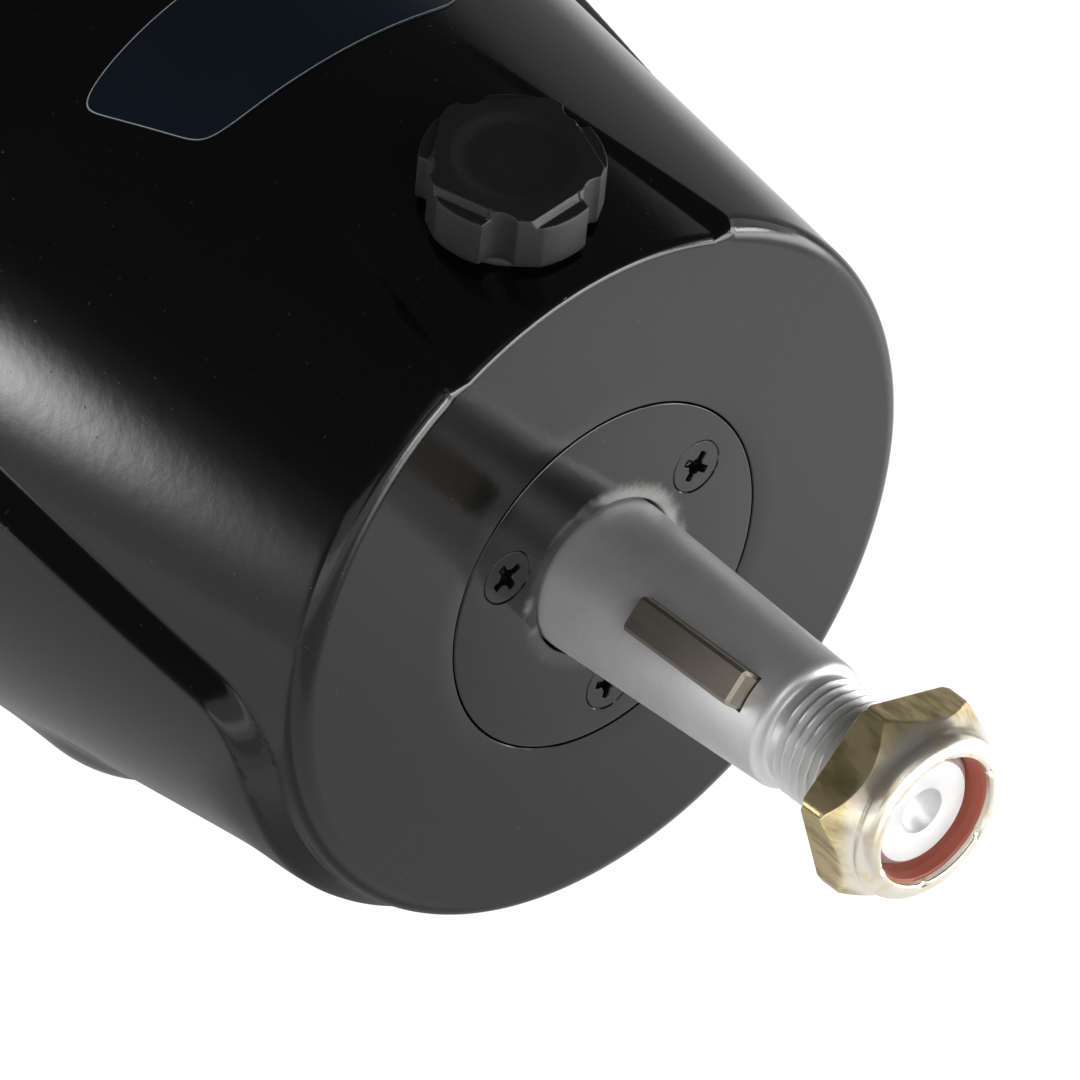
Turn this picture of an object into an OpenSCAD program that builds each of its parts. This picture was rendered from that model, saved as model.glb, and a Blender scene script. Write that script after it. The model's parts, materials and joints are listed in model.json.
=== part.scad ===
// Front-mount hydraulic steering helm for a boat.
// The origin lies on the shaft axis, in the plane where the flange meets the dash.
// +Z is up, +X is to the right seen from the front, and the shaft points along -Y.

/* [Front body] */
// Distance from the dash to the front face
face_h = 104; // [96:1:112]
// Radius of the main cone where it would meet the face plane
cone_r = 47.7; // [46.5:0.1:52]
// Half angle of the main cone in degrees
cone_angle = 7; // [5:0.5:8.5]
// Rounding between the face and the cone
rim_r = 4.4; // [3:0.1:6]
// Angle through which that rounding turns before it meets the face's edge
rim_turn = 60; // [45:1:80]
// Radius of the fluid chamber inside
chamber_r = 43; // [41:0.5:44]
// Length of the fluid chamber in front of the dash
chamber_l = 59; // [55:0.5:62]

/* [Top platform] */
// Width of the platform that carries the filler
platform_w = 40.8; // [34:0.2:46]
// Radius of the platform's cone at the face plane
platform_r = 46.1; // [45:0.1:47]
// Half angle of the platform's cone in degrees
platform_angle = 9.2; // [8.8:0.1:11]
// Rounding of the platform's front edge
platform_rim_r = 2.4; // [1:0.1:3]

/* [Side pads] */
// Distance behind the face where a raised pad starts, at its upper edge
pad_from = 8; // [6:0.5:12]
// How far behind the face the pad's lowest corner lies
pad_low_from = 14; // [12:0.5:20]
// Height of the pad's front corner above the shaft axis
pad_top = 2.2; // [0:0.2:6]
// Rise of the pad's upper edge towards the back, in degrees
pad_rise = 15; // [5:1:18]
// Sideways shift of the cone that shapes a pad's outside
pad_shift = 3.2; // [2:0.05:4]
// Direction of that shift, in degrees down from the top
pad_direction = 65; // [55:1:80]

/* [Dash flange] */
// How far the flange stands out beyond the spigot
flange_w = 16.5; // [16:0.5:29]
// Thickness of the flange
flange_t = 9; // [8:0.5:12]
// Radius of the concave flare between the cone and the flange
flare_r = 8; // [6:0.5:9]
// Rounding of the flange's front edge
flange_edge_r = 3; // [1:0.5:5]
// Thickness of the gasket between the flange and the dash
gasket_t = 1.5; // [1:0.1:3]
// Thickness of the wall of the spigot that passes through the dash
spigot_wall_t = 13; // [12.5:0.5:14]

/* [Stud bosses] */
// Radius of a boss that swells out of the flank in line with a stud
boss_r = 20; // [16:0.5:22]
// Radius of the circle that touches the outside of the bosses
boss_out_r = 57.5; // [56:0.1:58]
// Distance behind the face where an upper boss starts
upper_boss_from = 48; // [42:0.5:54]
// Distance behind the face where a lower boss starts
lower_boss_from = 35; // [32:0.5:46]

/* [Dash studs] */
// Number of studs
stud_count = 4; // [4]
// Diameter of a stud
stud_d = 6.35; // [5:0.05:8]
// Distance of a stud from the flange's rim
stud_inset = 8; // [7:0.5:9.5]
// Diameter of a stud's end in the flange
stud_end_d = 5.6; // [4.5:0.1:6]
// Depth of a stud in the flange
stud_depth = 7; // [5:0.5:7.5]
// Length of a stud behind the dash
stud_l = 45; // [35:1:60]

/* [Seal cover] */
// Radius of the cover
cover_r = 23.6; // [23:0.1:25]
// Thickness of the cover
cover_t = 5; // [4.2:0.1:5.5]
// Gap all round the cover
cover_seam = 0.15; // [0.1:0.05:0.3]
// Number of cover screws
screw_count = 3; // [3]
// Radius of the circle of cover screws
screw_circle_r = 17.2; // [17:0.1:17.6]
// Diameter of a cover screw's shank
screw_d = 4; // [3:0.1:4.2]
// Diameter of a cover screw's head
screw_head_d = 7; // [6:0.1:7.2]
// Length of a cover screw
screw_l = 12; // [9:0.5:12]
// Depth of a screw's cross recess
recess_depth = 1.6; // [1:0.1:2]
// Width of a screw's cross recess
recess_w = 0.95; // [0.8:0.05:1.2]
// Length of a screw's cross recess
recess_l = 4.2; // [3:0.1:4.5]
// Depth of the cover's O-ring groove
cover_groove_t = 1.6; // [1.4:0.1:2]
// Radius of the cover's O-ring
cover_ring_r = 21.3; // [21:0.1:21.6]

/* [Steering shaft] */
// Radius of the taper at the face
taper_r = 10.3; // [10.2:0.05:10.6]
// Length of the taper in front of the face
taper_l = 36.5; // [34:0.5:38]
// Length over which the taper's diameter falls by one unit
taper_ratio = 12; // [10:0.5:16]
// Rounding at the taper's front shoulder
shoulder_r = 1.6; // [0.8:0.1:2]
// Length of the neck between the taper and the thread
neck_l = 3; // [2.6:0.1:4]
// Radius of the neck at its narrowest
neck_r = 7.45; // [6.5:0.05:7.6]
// Diameter of the thread
thread_d = 15.88; // [15:0.01:16.2]
// Distance from the face to the front end of the shaft
shaft_front = 57; // [55:0.5:60]
// Chamfer at the front end of the shaft
shaft_chamfer = 1.2; // [0.5:0.1:1.6]
// Radius of the centre-drilled hole at the front end
centre_hole_r = 3.1; // [2:0.1:3.6]

/* [Shaft key] */
// Width of the key
key_w = 4.76; // [3:0.01:6]
// Length of the key
key_l = 19; // [14:0.5:20]
// Distance from the face to the key's rear end
key_from = 14.2; // [12:0.1:16]
// Radius at which the key's top lies
key_top_r = 11.6; // [11:0.1:12.5]
// Radius of the keyway's floor
key_floor_r = 6.9; // [6:0.1:7.5]
// Angle of the key at rest, in degrees from the right towards the top
key_angle = 133; // [0:1:359]
// Extra length of the keyway at the front
keyway_extra = 0.2; // [0.1:0.1:2]

/* [Wheel nut] */
// Width across the flats
nut_af = 23.8; // [22:0.1:25.4]
// Whole height of the nut
nut_h = 9.6; // [9:0.1:12]
// Height of the hexagon at its corners
nut_hex_h = 3.4; // [2.8:0.1:4]
// Distance from the face to the nut's rear face at rest
nut_from = 50; // [48:0.5:50.5]
// Angle of a corner of the hexagon at rest
nut_angle = 41; // [0:1:59]
// Radius of the nut's round collar
nut_collar_r = 11.2; // [10.4:0.1:11.4]
// Rounding of the collar's front edge
nut_collar_edge = 2; // [1:0.1:2.2]
// Outside radius of the nylon ring
insert_r = 9.4; // [9:0.05:9.6]
// Height of the nylon ring
insert_h = 3.2; // [2.5:0.1:3.6]
// Lip of metal crimped over the nylon ring
crimp_t = 1; // [0.5:0.1:1.5]
// Radius of the opening in the crimped lip
crimp_r = 8.6; // [8.3:0.05:8.9]

/* [Filler cap] */
// Distance of the cap's axis behind the face
filler_from = 15; // [14.5:0.1:16]
// Greatest radius of the cap
cap_r = 11.55; // [11:0.05:12]
// Height of the cap's head
cap_h = 8.55; // [7:0.05:11]
// Number of lobes
cap_lobes = 5; // [5]
// Angle of a notch at rest, in degrees from the back towards the left
cap_angle = 60; // [0:1:71]
// Radius of the round notch between two lobes
cap_notch_r = 2.2; // [1.8:0.1:2.4]
// Distance of a notch's centre from the cap's axis
cap_notch_from = 12; // [11.9:0.1:12.4]
// Depth of the low ledge on a lobe's top
cap_ledge_t = 1.1; // [0.6:0.1:1.6]
// Distance of the ledge's straight edge from the cap's axis
cap_ledge_from = 9.55; // [8.5:0.05:10.5]
// Angle from a notch to the middle of the ledge beside it
cap_ledge_angle = 21; // [15:1:30]
// Distance of a lobe's flat flank from the cap's axis
cap_flank_from = 11.05; // [10.8:0.05:11.3]
// Angle from a notch to the middle of the flat flank beside it
cap_flank_angle = 10; // [5:1:20]
// Depth of the dish in the cap's top
cap_dish = 0.5; // [0.2:0.1:1]
// Radius of the dish
cap_dish_r = 7.6; // [6:0.1:8]
// Diameter of the cap's threaded stem
stem_d = 15.8; // [14:0.1:16]
// Length of the stem below the platform
stem_l = 9; // [7:0.5:10]
// Radius of the flat that the cap seats on
cap_seat_r = 9.7; // [9.6:0.1:10]
// Depth of that flat below the platform's crest
cap_seat_t = 0.9; // [0.5:0.1:1.4]
// Radius of the cap's O-ring
cap_ring_r = 8.7; // [8.7:0.05:8.8]
// Thickness of the cap's O-ring
cap_ring_t = 1.5; // [1.4:0.1:1.5]

/* [Plate] */
// Distance from the face to the plate's front edge
plate_from = 46.5; // [42:0.5:50]
// Length of the plate along the flank
plate_l = 17; // [10:0.5:18]
// Half angle that the plate's front edge covers
plate_half_angle = 20.5; // [15:0.5:24]
// Half angle that the plate's rear edge covers
plate_rear_half_angle = 28.5; // [20:0.5:32]
// Thickness of the plate
plate_t = 0.25; // [0.15:0.05:0.5]

/* [Shaft seal and front bearing] */
// Outside radius of the shaft seal
seal_r = 14.3; // [13.8:0.1:14.6]
// Length of the shaft seal
seal_l = 7; // [5:0.5:7.5]
// Bore of the front bearing
bearing_bore = 20; // [19:0.5:20]
// Outside diameter of the front bearing
bearing_d = 42; // [40:0.5:43]
// Width of the front bearing
bearing_w = 12; // [10:0.5:12.5]
// Diameter of a ball in the front bearing
bearing_ball_d = 6.35; // [5.5:0.05:6.5]
// Number of balls in the front bearing
bearing_ball_count = 9; // [8:1:10]
// Thickness of the bearing's circlip
circlip_t = 1.2; // [1:0.1:1.5]

/* [Swash and thrust bearing] */
// Tilt of the swash in degrees
swash_angle = 17; // [12:0.5:17.5]
// Distance from the chamber's front end to the middle of the tilted swash face
swash_from = 14.5; // [13:0.5:16]
// Hole through the swash for the shaft
swash_hole_r = 14; // [13:0.5:15]
// Inner radius of the thrust races
race_inner_r = 16.5; // [16:0.5:18]
// Outer radius of the thrust races
race_outer_r = 35; // [33:0.5:36]
// Thickness of a thrust race
race_t = 3.2; // [3:0.1:3.6]
// Diameter of a thrust ball
thrust_ball_d = 5; // [4.5:0.1:5.2]
// Number of thrust balls
thrust_ball_count = 16; // [12:1:20]
// Depth of the ball groove in a race
race_groove_t = 0.8; // [0.5:0.1:1]

/* [Rotor and pistons] */
// Number of pistons
piston_count = 7; // [5:1:7]
// Diameter of a piston
piston_d = 18; // [14:0.1:18.5]
// Radius of the circle of pistons
piston_circle_r = 25.5; // [25:0.1:26.5]
// Length of a piston
piston_l = 31.5; // [28:0.5:34]
// Outside radius of the rotor
rotor_r = 38; // [37:0.5:40]
// Length of the rotor
rotor_l = 37; // [34:0.5:38]
// Thickness of metal behind a piston bore
rotor_floor_t = 4; // [3:0.5:6]
// Radius of the feed hole behind each piston
feed_hole_r = 3; // [2:0.1:4]
// Radius of the bore in a piston that holds its spring
piston_bore_r = 6.2; // [5:0.1:6.6]
// Depth of that bore
piston_bore_l = 22; // [18:0.5:24]
// Thickness of a piston spring's wire
spring_wire_d = 1.2; // [0.8:0.1:1.6]
// Width across the flats of the shaft's drive hexagon
drive_af = 14; // [13:0.1:15]

/* [Port plate and rear bush] */
// Thickness of the port plate
port_plate_t = 5; // [4:0.1:6]
// Width of a kidney slot
kidney_w = 8; // [6:0.5:9]
// Angle that a kidney slot covers
kidney_angle = 126; // [100:1:132]
// Radius of the shaft's rear journal
rear_journal_r = 6; // [5.5:0.1:6.4]
// Outside radius of the rear bush
bush_r = 9; // [8:0.1:9.5]
// Length of the rear bush
bush_l = 9; // [7:0.5:10]

/* [Valve block] */
// Thickness of the valve block
block_t = 30; // [28:0.5:34]
// Depth of the recess in the block that holds the port plate
plate_recess_t = 1.4; // [1:0.1:2]
// Number of block bolts
bolt_count = 6; // [6]
// Diameter of a block bolt
bolt_d = 6; // [5:0.1:6.2]
// Distance of a block bolt from the block's rim
bolt_inset = 5; // [4.8:0.1:5.5]
// Depth of a block bolt in the front body
bolt_depth = 13; // [10:0.5:15]
// Diameter of a block bolt's head
bolt_head_d = 10; // [9:0.1:10]
// Height of a block bolt's head
bolt_head_h = 6; // [5:0.1:7]
// Width across the flats of the socket in a bolt's head
bolt_socket_af = 5; // [4:0.1:5]
// Depth of the block's O-ring groove
block_groove_t = 1.8; // [1.6:0.1:2.2]

/* [Lock valve] */
// Height of the lock valve's bore, below the shaft axis
valve_drop = 18; // [17.5:0.5:19]
// Distance of the bore behind the block's front face
valve_from = 14; // [13:0.5:16]
// Radius of the bore
valve_bore_r = 6; // [5:0.1:6.2]
// Half length of the lock spool
spool_half_l = 10; // [8:0.5:11]
// Gap between the spool and a poppet's stem at rest
spool_gap = 1.8; // [1.6:0.1:2.4]
// Length of a poppet, stem and head together
poppet_l = 12; // [10:0.5:13]
// Radius of a poppet's stem
poppet_stem_r = 2; // [1.5:0.1:2.5]
// Radius of the seat that a poppet closes
seat_r = 3.4; // [3:0.1:4]
// Length of the wall that holds the seat
seat_l = 4; // [3:0.5:5]
// Length of a poppet spring
poppet_spring_l = 9; // [7:0.5:10]
// Radius of a valve plug's thread
plug_r = 8; // [7:0.1:8.2]
// Width across the flats of a valve plug's head
plug_af = 17; // [15:0.5:17]
// Height of a valve plug's head
plug_head_h = 5; // [4:0.5:5.5]
// Distance from the middle of the block to the seat of a plug's head
plug_seat_x = 43; // [42.5:0.5:44]

/* [Ports] */
// Distance of a steering port to each side
port_x = 26; // [24:0.5:28]
// Radius of a steering port's thread
port_r = 7; // [6:0.1:7.2]
// Depth of a steering port
port_depth = 7; // [5:0.5:7.5]
// Radius of the passages in the block
passage_r = 3; // [2:0.1:3.4]
// Width across the flats of a fitting's hexagon
fitting_af = 17.5; // [16:0.1:18]
// Height of a fitting's hexagon
fitting_hex_h = 7; // [5:0.5:9]
// Radius of a fitting's tube end
fitting_tube_r = 6.5; // [5.5:0.1:7]
// Length of a fitting's tube end
fitting_tube_l = 15; // [10:0.5:20]
// Height of the plugged filling port above the shaft axis
spare_port_z = 30; // [28:0.5:32]

/* [Clearances] */
// Gap all round a piece that is held fast
held_gap = 0.05; // [0.03:0.01:0.08]
// Gap all round a piece that turns or slides in its fit
running_gap = 0.05; // [0.03:0.01:0.1]
// Gap between pieces that only pass each other
clear_gap = 0.4; // [0.3:0.1:0.6]

/* [Hidden] */
$fn = 96;
ball_fn = 32;
arc_steps = 8;
overcut = 1;

face_y = -face_h;
chamber_y = -chamber_l;
thread_r = thread_d / 2;
shoulder_angle = -60;
screw_angle = 30;
recess_angle = 45;
stud_angle = 45;
taper_end_r = taper_r - taper_l / taper_ratio / 2;
thread_y = face_y - taper_l - neck_l;
shaft_front_y = face_y - shaft_front;

// Dash flange and spigot
spigot_r = chamber_r + spigot_wall_t;
flange_r = spigot_r + flange_w;
stud_circle_r = flange_r - stud_inset;
bolt_circle_r = spigot_r - bolt_inset;
block_ring_r = (chamber_r + bolt_circle_r - bolt_d / 2) / 2;
flange_y = -gasket_t;
flange_front_y = flange_y - flange_t;

// Seal cover, seal and bearing, as distances behind the face
screw_top_y = face_y + cover_seam / 2;
seal_from = cover_t + clear_gap / 2;
web_from = seal_from + seal_l;
web_t = 1.3;
bearing_from = web_from + web_t;
bearing_end = bearing_from + bearing_w;
ball_circle_r = (bearing_bore + bearing_d) / 4;
land_share = 0.33;
race_land_r = bearing_ball_d * land_share;
journal_collar_t = 2.4;
journal_collar_r = bearing_bore / 2 + journal_collar_t;
bearing_bore_r = bearing_d / 2 + held_gap;
circlip_groove_t = 1.1;

// Swash stack, measured along its tilted axis from the swash's top
swash_y = chamber_y + swash_from;
ball_gap = thrust_ball_d - 2 * race_groove_t;
thrust_ball_h = race_t + ball_gap / 2;
turning_race_h = race_t + ball_gap;
stack_h = turning_race_h + race_t;
thrust_circle_r = (race_inner_r + race_outer_r) / 2;
thrust_groove_r = thrust_ball_d / 2 + running_gap;
cage_share = 0.4;
cage_t = ball_gap * cage_share;

// Rotor, set so that its pistons just clear the swash all the way round
piston_r = piston_d / 2;
swash_top = stack_h / cos(swash_angle) + piston_circle_r * tan(swash_angle);
nose_rise = piston_r * (1 / cos(swash_angle) - 1);
piston_nose_y = swash_y + swash_top + nose_rise + clear_gap;
rotor_y = piston_nose_y + overcut;
rotor_end_y = rotor_y + rotor_l;
piston_end_y = piston_nose_y + piston_l;
bore_floor_y = rotor_end_y - rotor_floor_t;
shaft_stem_r = drive_af / sqrt(3) + overcut;
piston_angle = 90;
piston_nose_angle = -80;

// Port plate, bush and valve block
port_plate_y = rotor_end_y + running_gap;
block_floor_y = port_plate_y + port_plate_t;
block_y = block_floor_y - plate_recess_t;
block_end_y = block_y + block_t;
bush_y = block_floor_y;
journal_end_y = bush_y + bush_l - clear_gap;
valve_y = block_y + valve_from;
groove_share = 0.7;
spool_groove_r = valve_bore_r * groove_share;
poppet_x = spool_half_l + spool_gap;
seat_x = poppet_x + poppet_l / 2;
poppet_end_x = poppet_x + poppet_l;
spring_end_x = poppet_end_x + poppet_spring_l;
port_bore_y = block_end_y - port_depth;

// Wheel nut, from its rear face to its front
nut_y = face_y - nut_from;
nut_front_y = nut_y - nut_h;
insert_front_y = nut_front_y + crimp_t;
nut_chamfer_angle = 55;
nut_face_r = hex_r(nut_af) - clear_gap;

// Filler: the frame that stands on the platform's cone
platform_slope = tan(platform_angle);
filler_y = face_y + filler_from;
filler_z = platform_r + filler_from * platform_slope;
stem_r = stem_d / 2;
filler_duct_r = 1.5 * feed_hole_r;
filler_duct_z = chamber_r - 2 * feed_hole_r;

// Points on an arc about a centre
function arc(centre, r, from, to) =
    [for (i = [0 : arc_steps]) let (a = from + (to - from) * i / arc_steps) centre + r * [cos(a), sin(a)]];

// Radius of a cone at a distance behind the face
function cone_at(r, angle, behind) = r + behind * tan(angle);

// Circumradius of a hexagon from its width across the flats
function hex_r(af) = af / sqrt(3);

// Outline from the axis over the face, rim, cone, flare and flange, as [radius, y]
function body_outline(r, angle, rim) =
    let (rim_l = rim * sin(rim_turn + angle),
         rim_centre = [cone_at(r, angle, rim_l) - rim / cos(angle), face_y + rim_l],
         flare_y = flange_front_y - flare_r,
         flare_centre = [cone_at(r, angle, flare_y - face_y) + flare_r / cos(angle), flare_y],
         edge_centre = [flange_r - flange_edge_r, flange_front_y + flange_edge_r])
    concat([[0, face_y]],
           arc(rim_centre, rim, -rim_turn - angle, -angle),
           arc(flare_centre, flare_r, 180 - angle, 90),
           arc(edge_centre, flange_edge_r, -90, 0),
           [[flange_r, flange_y], [0, flange_y]]);

// A solid turned about the shaft axis from points [radius, y]
module turned(points) {
    rotate([-90, 0, 0]) rotate_extrude() polygon(points);
}

// A round bar along the shaft axis
module bar(r, from, to) {
    translate([0, from, 0]) rotate([-90, 0, 0]) cylinder(r = r, h = to - from);
}

// A round tube along the shaft axis
module tube(outer, inner, from, to) {
    difference() {
        bar(outer, from, to);
        bar(inner, from - overcut, to + overcut);
    }
}

// A hexagonal bar along the shaft axis, with a corner at an angle
module hex_bar(af, from, to, angle = 0) {
    translate([0, from, 0]) rotate([0, -angle, 0]) rotate([-90, 0, 0])
        cylinder(r = hex_r(af), h = to - from, $fn = 6);
}

// A ring of round section about the shaft axis
module o_ring(r, section_r, y) {
    translate([0, y, 0]) rotate([-90, 0, 0]) rotate_extrude()
        translate([r, 0]) circle(r = section_r, $fn = ball_fn);
}

// Copies round the shaft axis; the angle runs from +X towards +Z
module around(count, first = 0) {
    for (i = [0 : count - 1]) rotate([0, -first - 360 * i / count, 0]) children();
}

// A round bar to the right or left, along X
module cross_bar(r, from, to) {
    translate([from, 0, 0]) rotate([0, 90, 0]) cylinder(r = r, h = to - from);
}

// Places children on the platform, with Z along the filler's axis
module on_platform() {
    translate([0, filler_y, filler_z]) rotate([platform_angle, 0, 0]) children();
}

// Places children on the swash, with Z along its tilted axis
module on_swash() {
    translate([0, swash_y, 0]) rotate([-90 + swash_angle, 0, 0]) children();
}

// Places children at the middle of the lock valve's bore
module at_valve() {
    translate([0, valve_y, -valve_drop]) children();
}

// The part of the flank above the platform's cone
module platform_cut() {
    intersection() {
        translate([-platform_w / 2, face_y - overcut, 0]) cube([platform_w, face_h, flange_r]);
        difference() {
            bar(flange_r + overcut, face_y - overcut, flange_front_y);
            turned(body_outline(platform_r, platform_angle, platform_rim_r));
        }
    }
}

// A raised pad on the right flank: its outside is the same cone, shifted sideways
module side_pad() {
    rise = tan(pad_rise);
    low = cone_r;
    back = flange_front_y + overcut - face_y;
    intersection() {
        translate([cone_r / 2, face_y, 0]) rotate([90, 0, 90]) linear_extrude(height = flange_r)
            polygon([[pad_from, pad_top], [pad_low_from, -low], [back, -low],
                     [back, pad_top + (back - pad_from) * rise]]);
        translate(pad_shift * [sin(pad_direction), 0, cos(pad_direction)])
            turned([[0, face_y], [cone_r, face_y], [cone_at(cone_r, cone_angle, back), face_y + back],
                    [0, face_y + back]]);
    }
}

// A boss with a round front end, a radius out from the shaft axis
module stud_boss(from) {
    centre_y = face_y + from + boss_r;
    translate([boss_out_r - boss_r, 0, 0])
        turned(concat(arc([0, centre_y], boss_r, -90, 0),
                      [[boss_r, flange_front_y + overcut], [0, flange_front_y + overcut]]));
}

module front_housing() {
    color("#161617") difference() {
        union() {
            difference() {
                turned(body_outline(cone_r, cone_angle, rim_r));
                platform_cut();
            }
            side_pad();
            mirror([1, 0, 0]) side_pad();
            for (a = [stud_angle, 180 - stud_angle]) rotate([0, -a, 0]) stud_boss(upper_boss_from);
            for (a = [stud_angle, 180 - stud_angle]) rotate([0, a, 0]) stud_boss(lower_boss_from);
            bar(spigot_r, flange_y - overcut, block_y);
        }
        // Fluid chamber, bearing seat, seal pocket and cover recess
        bar(chamber_r, chamber_y, block_y + overcut);
        bar(bearing_bore_r, face_y + bearing_from, chamber_y + overcut);
        tube(bearing_bore_r + circlip_groove_t, bearing_bore_r - overcut,
             face_y + bearing_end + held_gap, face_y + bearing_end + circlip_t + 2 * held_gap);
        bar(seal_r + held_gap, face_y - overcut, face_y + web_from);
        bar(taper_r + clear_gap, face_y, face_y + bearing_from + overcut);
        bar(cover_r + cover_seam, face_y - overcut, face_y + cover_t);
        tube(cover_ring_r + cover_groove_t / 2, cover_ring_r - cover_groove_t / 2,
             face_y + cover_t - overcut, face_y + cover_t + cover_groove_t);
        // Tapped holes for the cover screws, block bolts and studs
        around(screw_count, screw_angle) translate([screw_circle_r, 0, 0])
            bar(screw_d / 2 + held_gap, face_y, face_y + screw_l + cover_seam + clear_gap);
        around(bolt_count) translate([bolt_circle_r, 0, 0])
            bar(bolt_d / 2 + held_gap, block_y - bolt_depth - clear_gap, block_y + overcut);
        around(stud_count, stud_angle) translate([stud_circle_r, 0, 0])
            bar(stud_end_d / 2 + held_gap, flange_y - stud_depth - held_gap, flange_y + overcut);
        // Filler neck with its flat seat, and the duct from it to the chamber
        on_platform() {
            translate([0, 0, -cap_seat_t]) cylinder(r = cap_seat_r, h = cap_h);
            translate([0, 0, -stem_l - cap_seat_t - overcut])
                cylinder(r = stem_r + running_gap, h = cap_h + stem_l);
        }
        translate([0, 0, filler_duct_z]) bar(filler_duct_r, filler_y, chamber_y + overcut);
    }
}

module seal_cover() {
    color("#1b1b1c") difference() {
        bar(cover_r, face_y, face_y + cover_t);
        bar(taper_r + clear_gap, face_y - overcut, face_y + cover_t + overcut);
        around(screw_count, screw_angle) translate([screw_circle_r, 0, 0]) {
            bar(screw_d / 2 + running_gap, face_y - overcut, face_y + cover_t + overcut);
            screw_head(running_gap, screw_top_y);
            bar(screw_head_d / 2 + running_gap, face_y - overcut, screw_top_y + held_gap);
        }
    }
}

// The countersunk cone of a cover screw's head, grown by a gap
module screw_head(gap, y) {
    head = screw_head_d / 2 + gap;
    shank = screw_d / 2 + gap;
    cone_end = y + cover_seam + head - shank;
    turned([[0, y], [head, y], [head, y + cover_seam], [shank, cone_end], [0, cone_end]]);
}

module cover_screws() {
    color("#29282a") around(screw_count, screw_angle) translate([screw_circle_r, 0, 0]) difference() {
        union() {
            screw_head(0, screw_top_y);
            bar(screw_d / 2, screw_top_y, face_y + screw_l);
        }
        for (turn = [recess_angle, recess_angle + 90]) rotate([0, turn, 0])
            translate([-recess_l / 2, screw_top_y - overcut, -recess_w / 2])
                cube([recess_l, recess_depth + overcut, recess_w]);
    }
}

module cover_o_ring() {
    section_r = cover_groove_t / 2 - held_gap;
    color("#101010") o_ring(cover_ring_r, section_r, face_y + cover_t + cover_groove_t / 2);
}

module shaft_seal() {
    lip = seal_l / 3;
    inner = taper_r + running_gap;
    start = face_y + seal_from;
    color("#202020") turned([
        [seal_r, start], [seal_r, start + seal_l - held_gap], [inner + lip / 2, start + seal_l - held_gap],
        [inner + lip / 2, start + 2 * lip], [inner, start + 1.5 * lip], [inner, start + lip],
        [inner + lip / 2, start + lip / 2], [inner + lip / 2, start]]);
}

// One race of the front bearing, between two radii, with its ball groove
module bearing_race(outer, inner) {
    y = face_y + bearing_from + held_gap;
    difference() {
        tube(outer, inner, y, y + bearing_w - held_gap);
        o_ring(ball_circle_r, bearing_ball_d / 2 + running_gap, y + bearing_w / 2);
    }
}

module bearing_outer_race() {
    color("#b9bcc0") bearing_race(bearing_d / 2, ball_circle_r + race_land_r);
}

module bearing_inner_race() {
    color("#b9bcc0") bearing_race(ball_circle_r - race_land_r, bearing_bore / 2 + held_gap);
}

module bearing_balls() {
    y = face_y + bearing_from + held_gap + bearing_w / 2;
    color("#cfd2d6") around(bearing_ball_count)
        translate([ball_circle_r, y, 0]) sphere(d = bearing_ball_d, $fn = ball_fn);
}

module bearing_cage() {
    y = face_y + bearing_from + held_gap + bearing_w / 2;
    half_t = race_land_r / 2;
    color("#b08d57") difference() {
        tube(ball_circle_r + half_t, ball_circle_r - half_t, y - bearing_w / 3, y + bearing_w / 3);
        around(bearing_ball_count) translate([0, y, 0])
            cross_bar(bearing_ball_d / 2 + 2 * running_gap, ball_circle_r / 2, bearing_d / 2);
    }
}

module bearing_circlip() {
    y = face_y + bearing_end + 1.5 * held_gap;
    outer = bearing_bore_r + circlip_groove_t - held_gap;
    color("#3a3a3c") difference() {
        tube(outer, bearing_d / 2 - circlip_groove_t, y, y + circlip_t);
        translate([-circlip_groove_t * 2, y - overcut, -outer - overcut])
            cube([circlip_groove_t * 4, circlip_t + 2 * overcut, outer]);
    }
}

module shaft() {
    journal_y = face_y + bearing_from;
    journal_end = face_y + bearing_end + held_gap;
    collar_end = chamber_y;
    drive_y = rotor_y - clear_gap;
    end_r = thread_r - shaft_chamfer;
    shoulder_centre = [taper_end_r - shoulder_r, thread_y + neck_l + shoulder_r / 2];
    color("#b7b8ba") difference() {
        union() {
            turned(concat(
                [[0, shaft_front_y], [end_r, shaft_front_y], [thread_r, shaft_front_y + shaft_chamfer],
                 [thread_r, thread_y], [neck_r, thread_y + thread_r - neck_r],
                 [neck_r, thread_y + neck_l - shoulder_r / 2]],
                arc(shoulder_centre, shoulder_r, shoulder_angle, 0),
                [[taper_r, face_y], [taper_r, journal_y], [bearing_bore / 2, journal_y],
                 [bearing_bore / 2, journal_end], [journal_collar_r, journal_end],
                 [journal_collar_r, collar_end], [shaft_stem_r, collar_end],
                 [shaft_stem_r, drive_y], [rear_journal_r, drive_y],
                 [rear_journal_r, journal_end_y], [0, journal_end_y]]));
            hex_bar(drive_af, drive_y - overcut, rotor_end_y);
        }
        // Keyway and centre-drilled hole
        rotate([0, -key_angle, 0])
            translate([key_floor_r, face_y - key_from - key_l - keyway_extra, -key_w / 2 - held_gap])
                cube([taper_r, key_l + keyway_extra + held_gap, key_w + 2 * held_gap]);
        turned([[0, shaft_front_y - overcut], [centre_hole_r, shaft_front_y - overcut],
                [centre_hole_r, shaft_front_y], [0, shaft_front_y + centre_hole_r * sqrt(3)]]);
    }
}

module shaft_key() {
    bevel = key_w / 10;
    color("#6f6a63") rotate([0, -key_angle, 0]) translate([0, face_y - key_from - key_l, 0])
        rotate([-90, 0, 0]) linear_extrude(height = key_l)
            polygon([[key_floor_r + held_gap, -key_w / 2], [key_top_r - bevel, -key_w / 2],
                     [key_top_r, bevel - key_w / 2], [key_top_r, key_w / 2 - bevel],
                     [key_top_r - bevel, key_w / 2], [key_floor_r + held_gap, key_w / 2]]);
}

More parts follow.
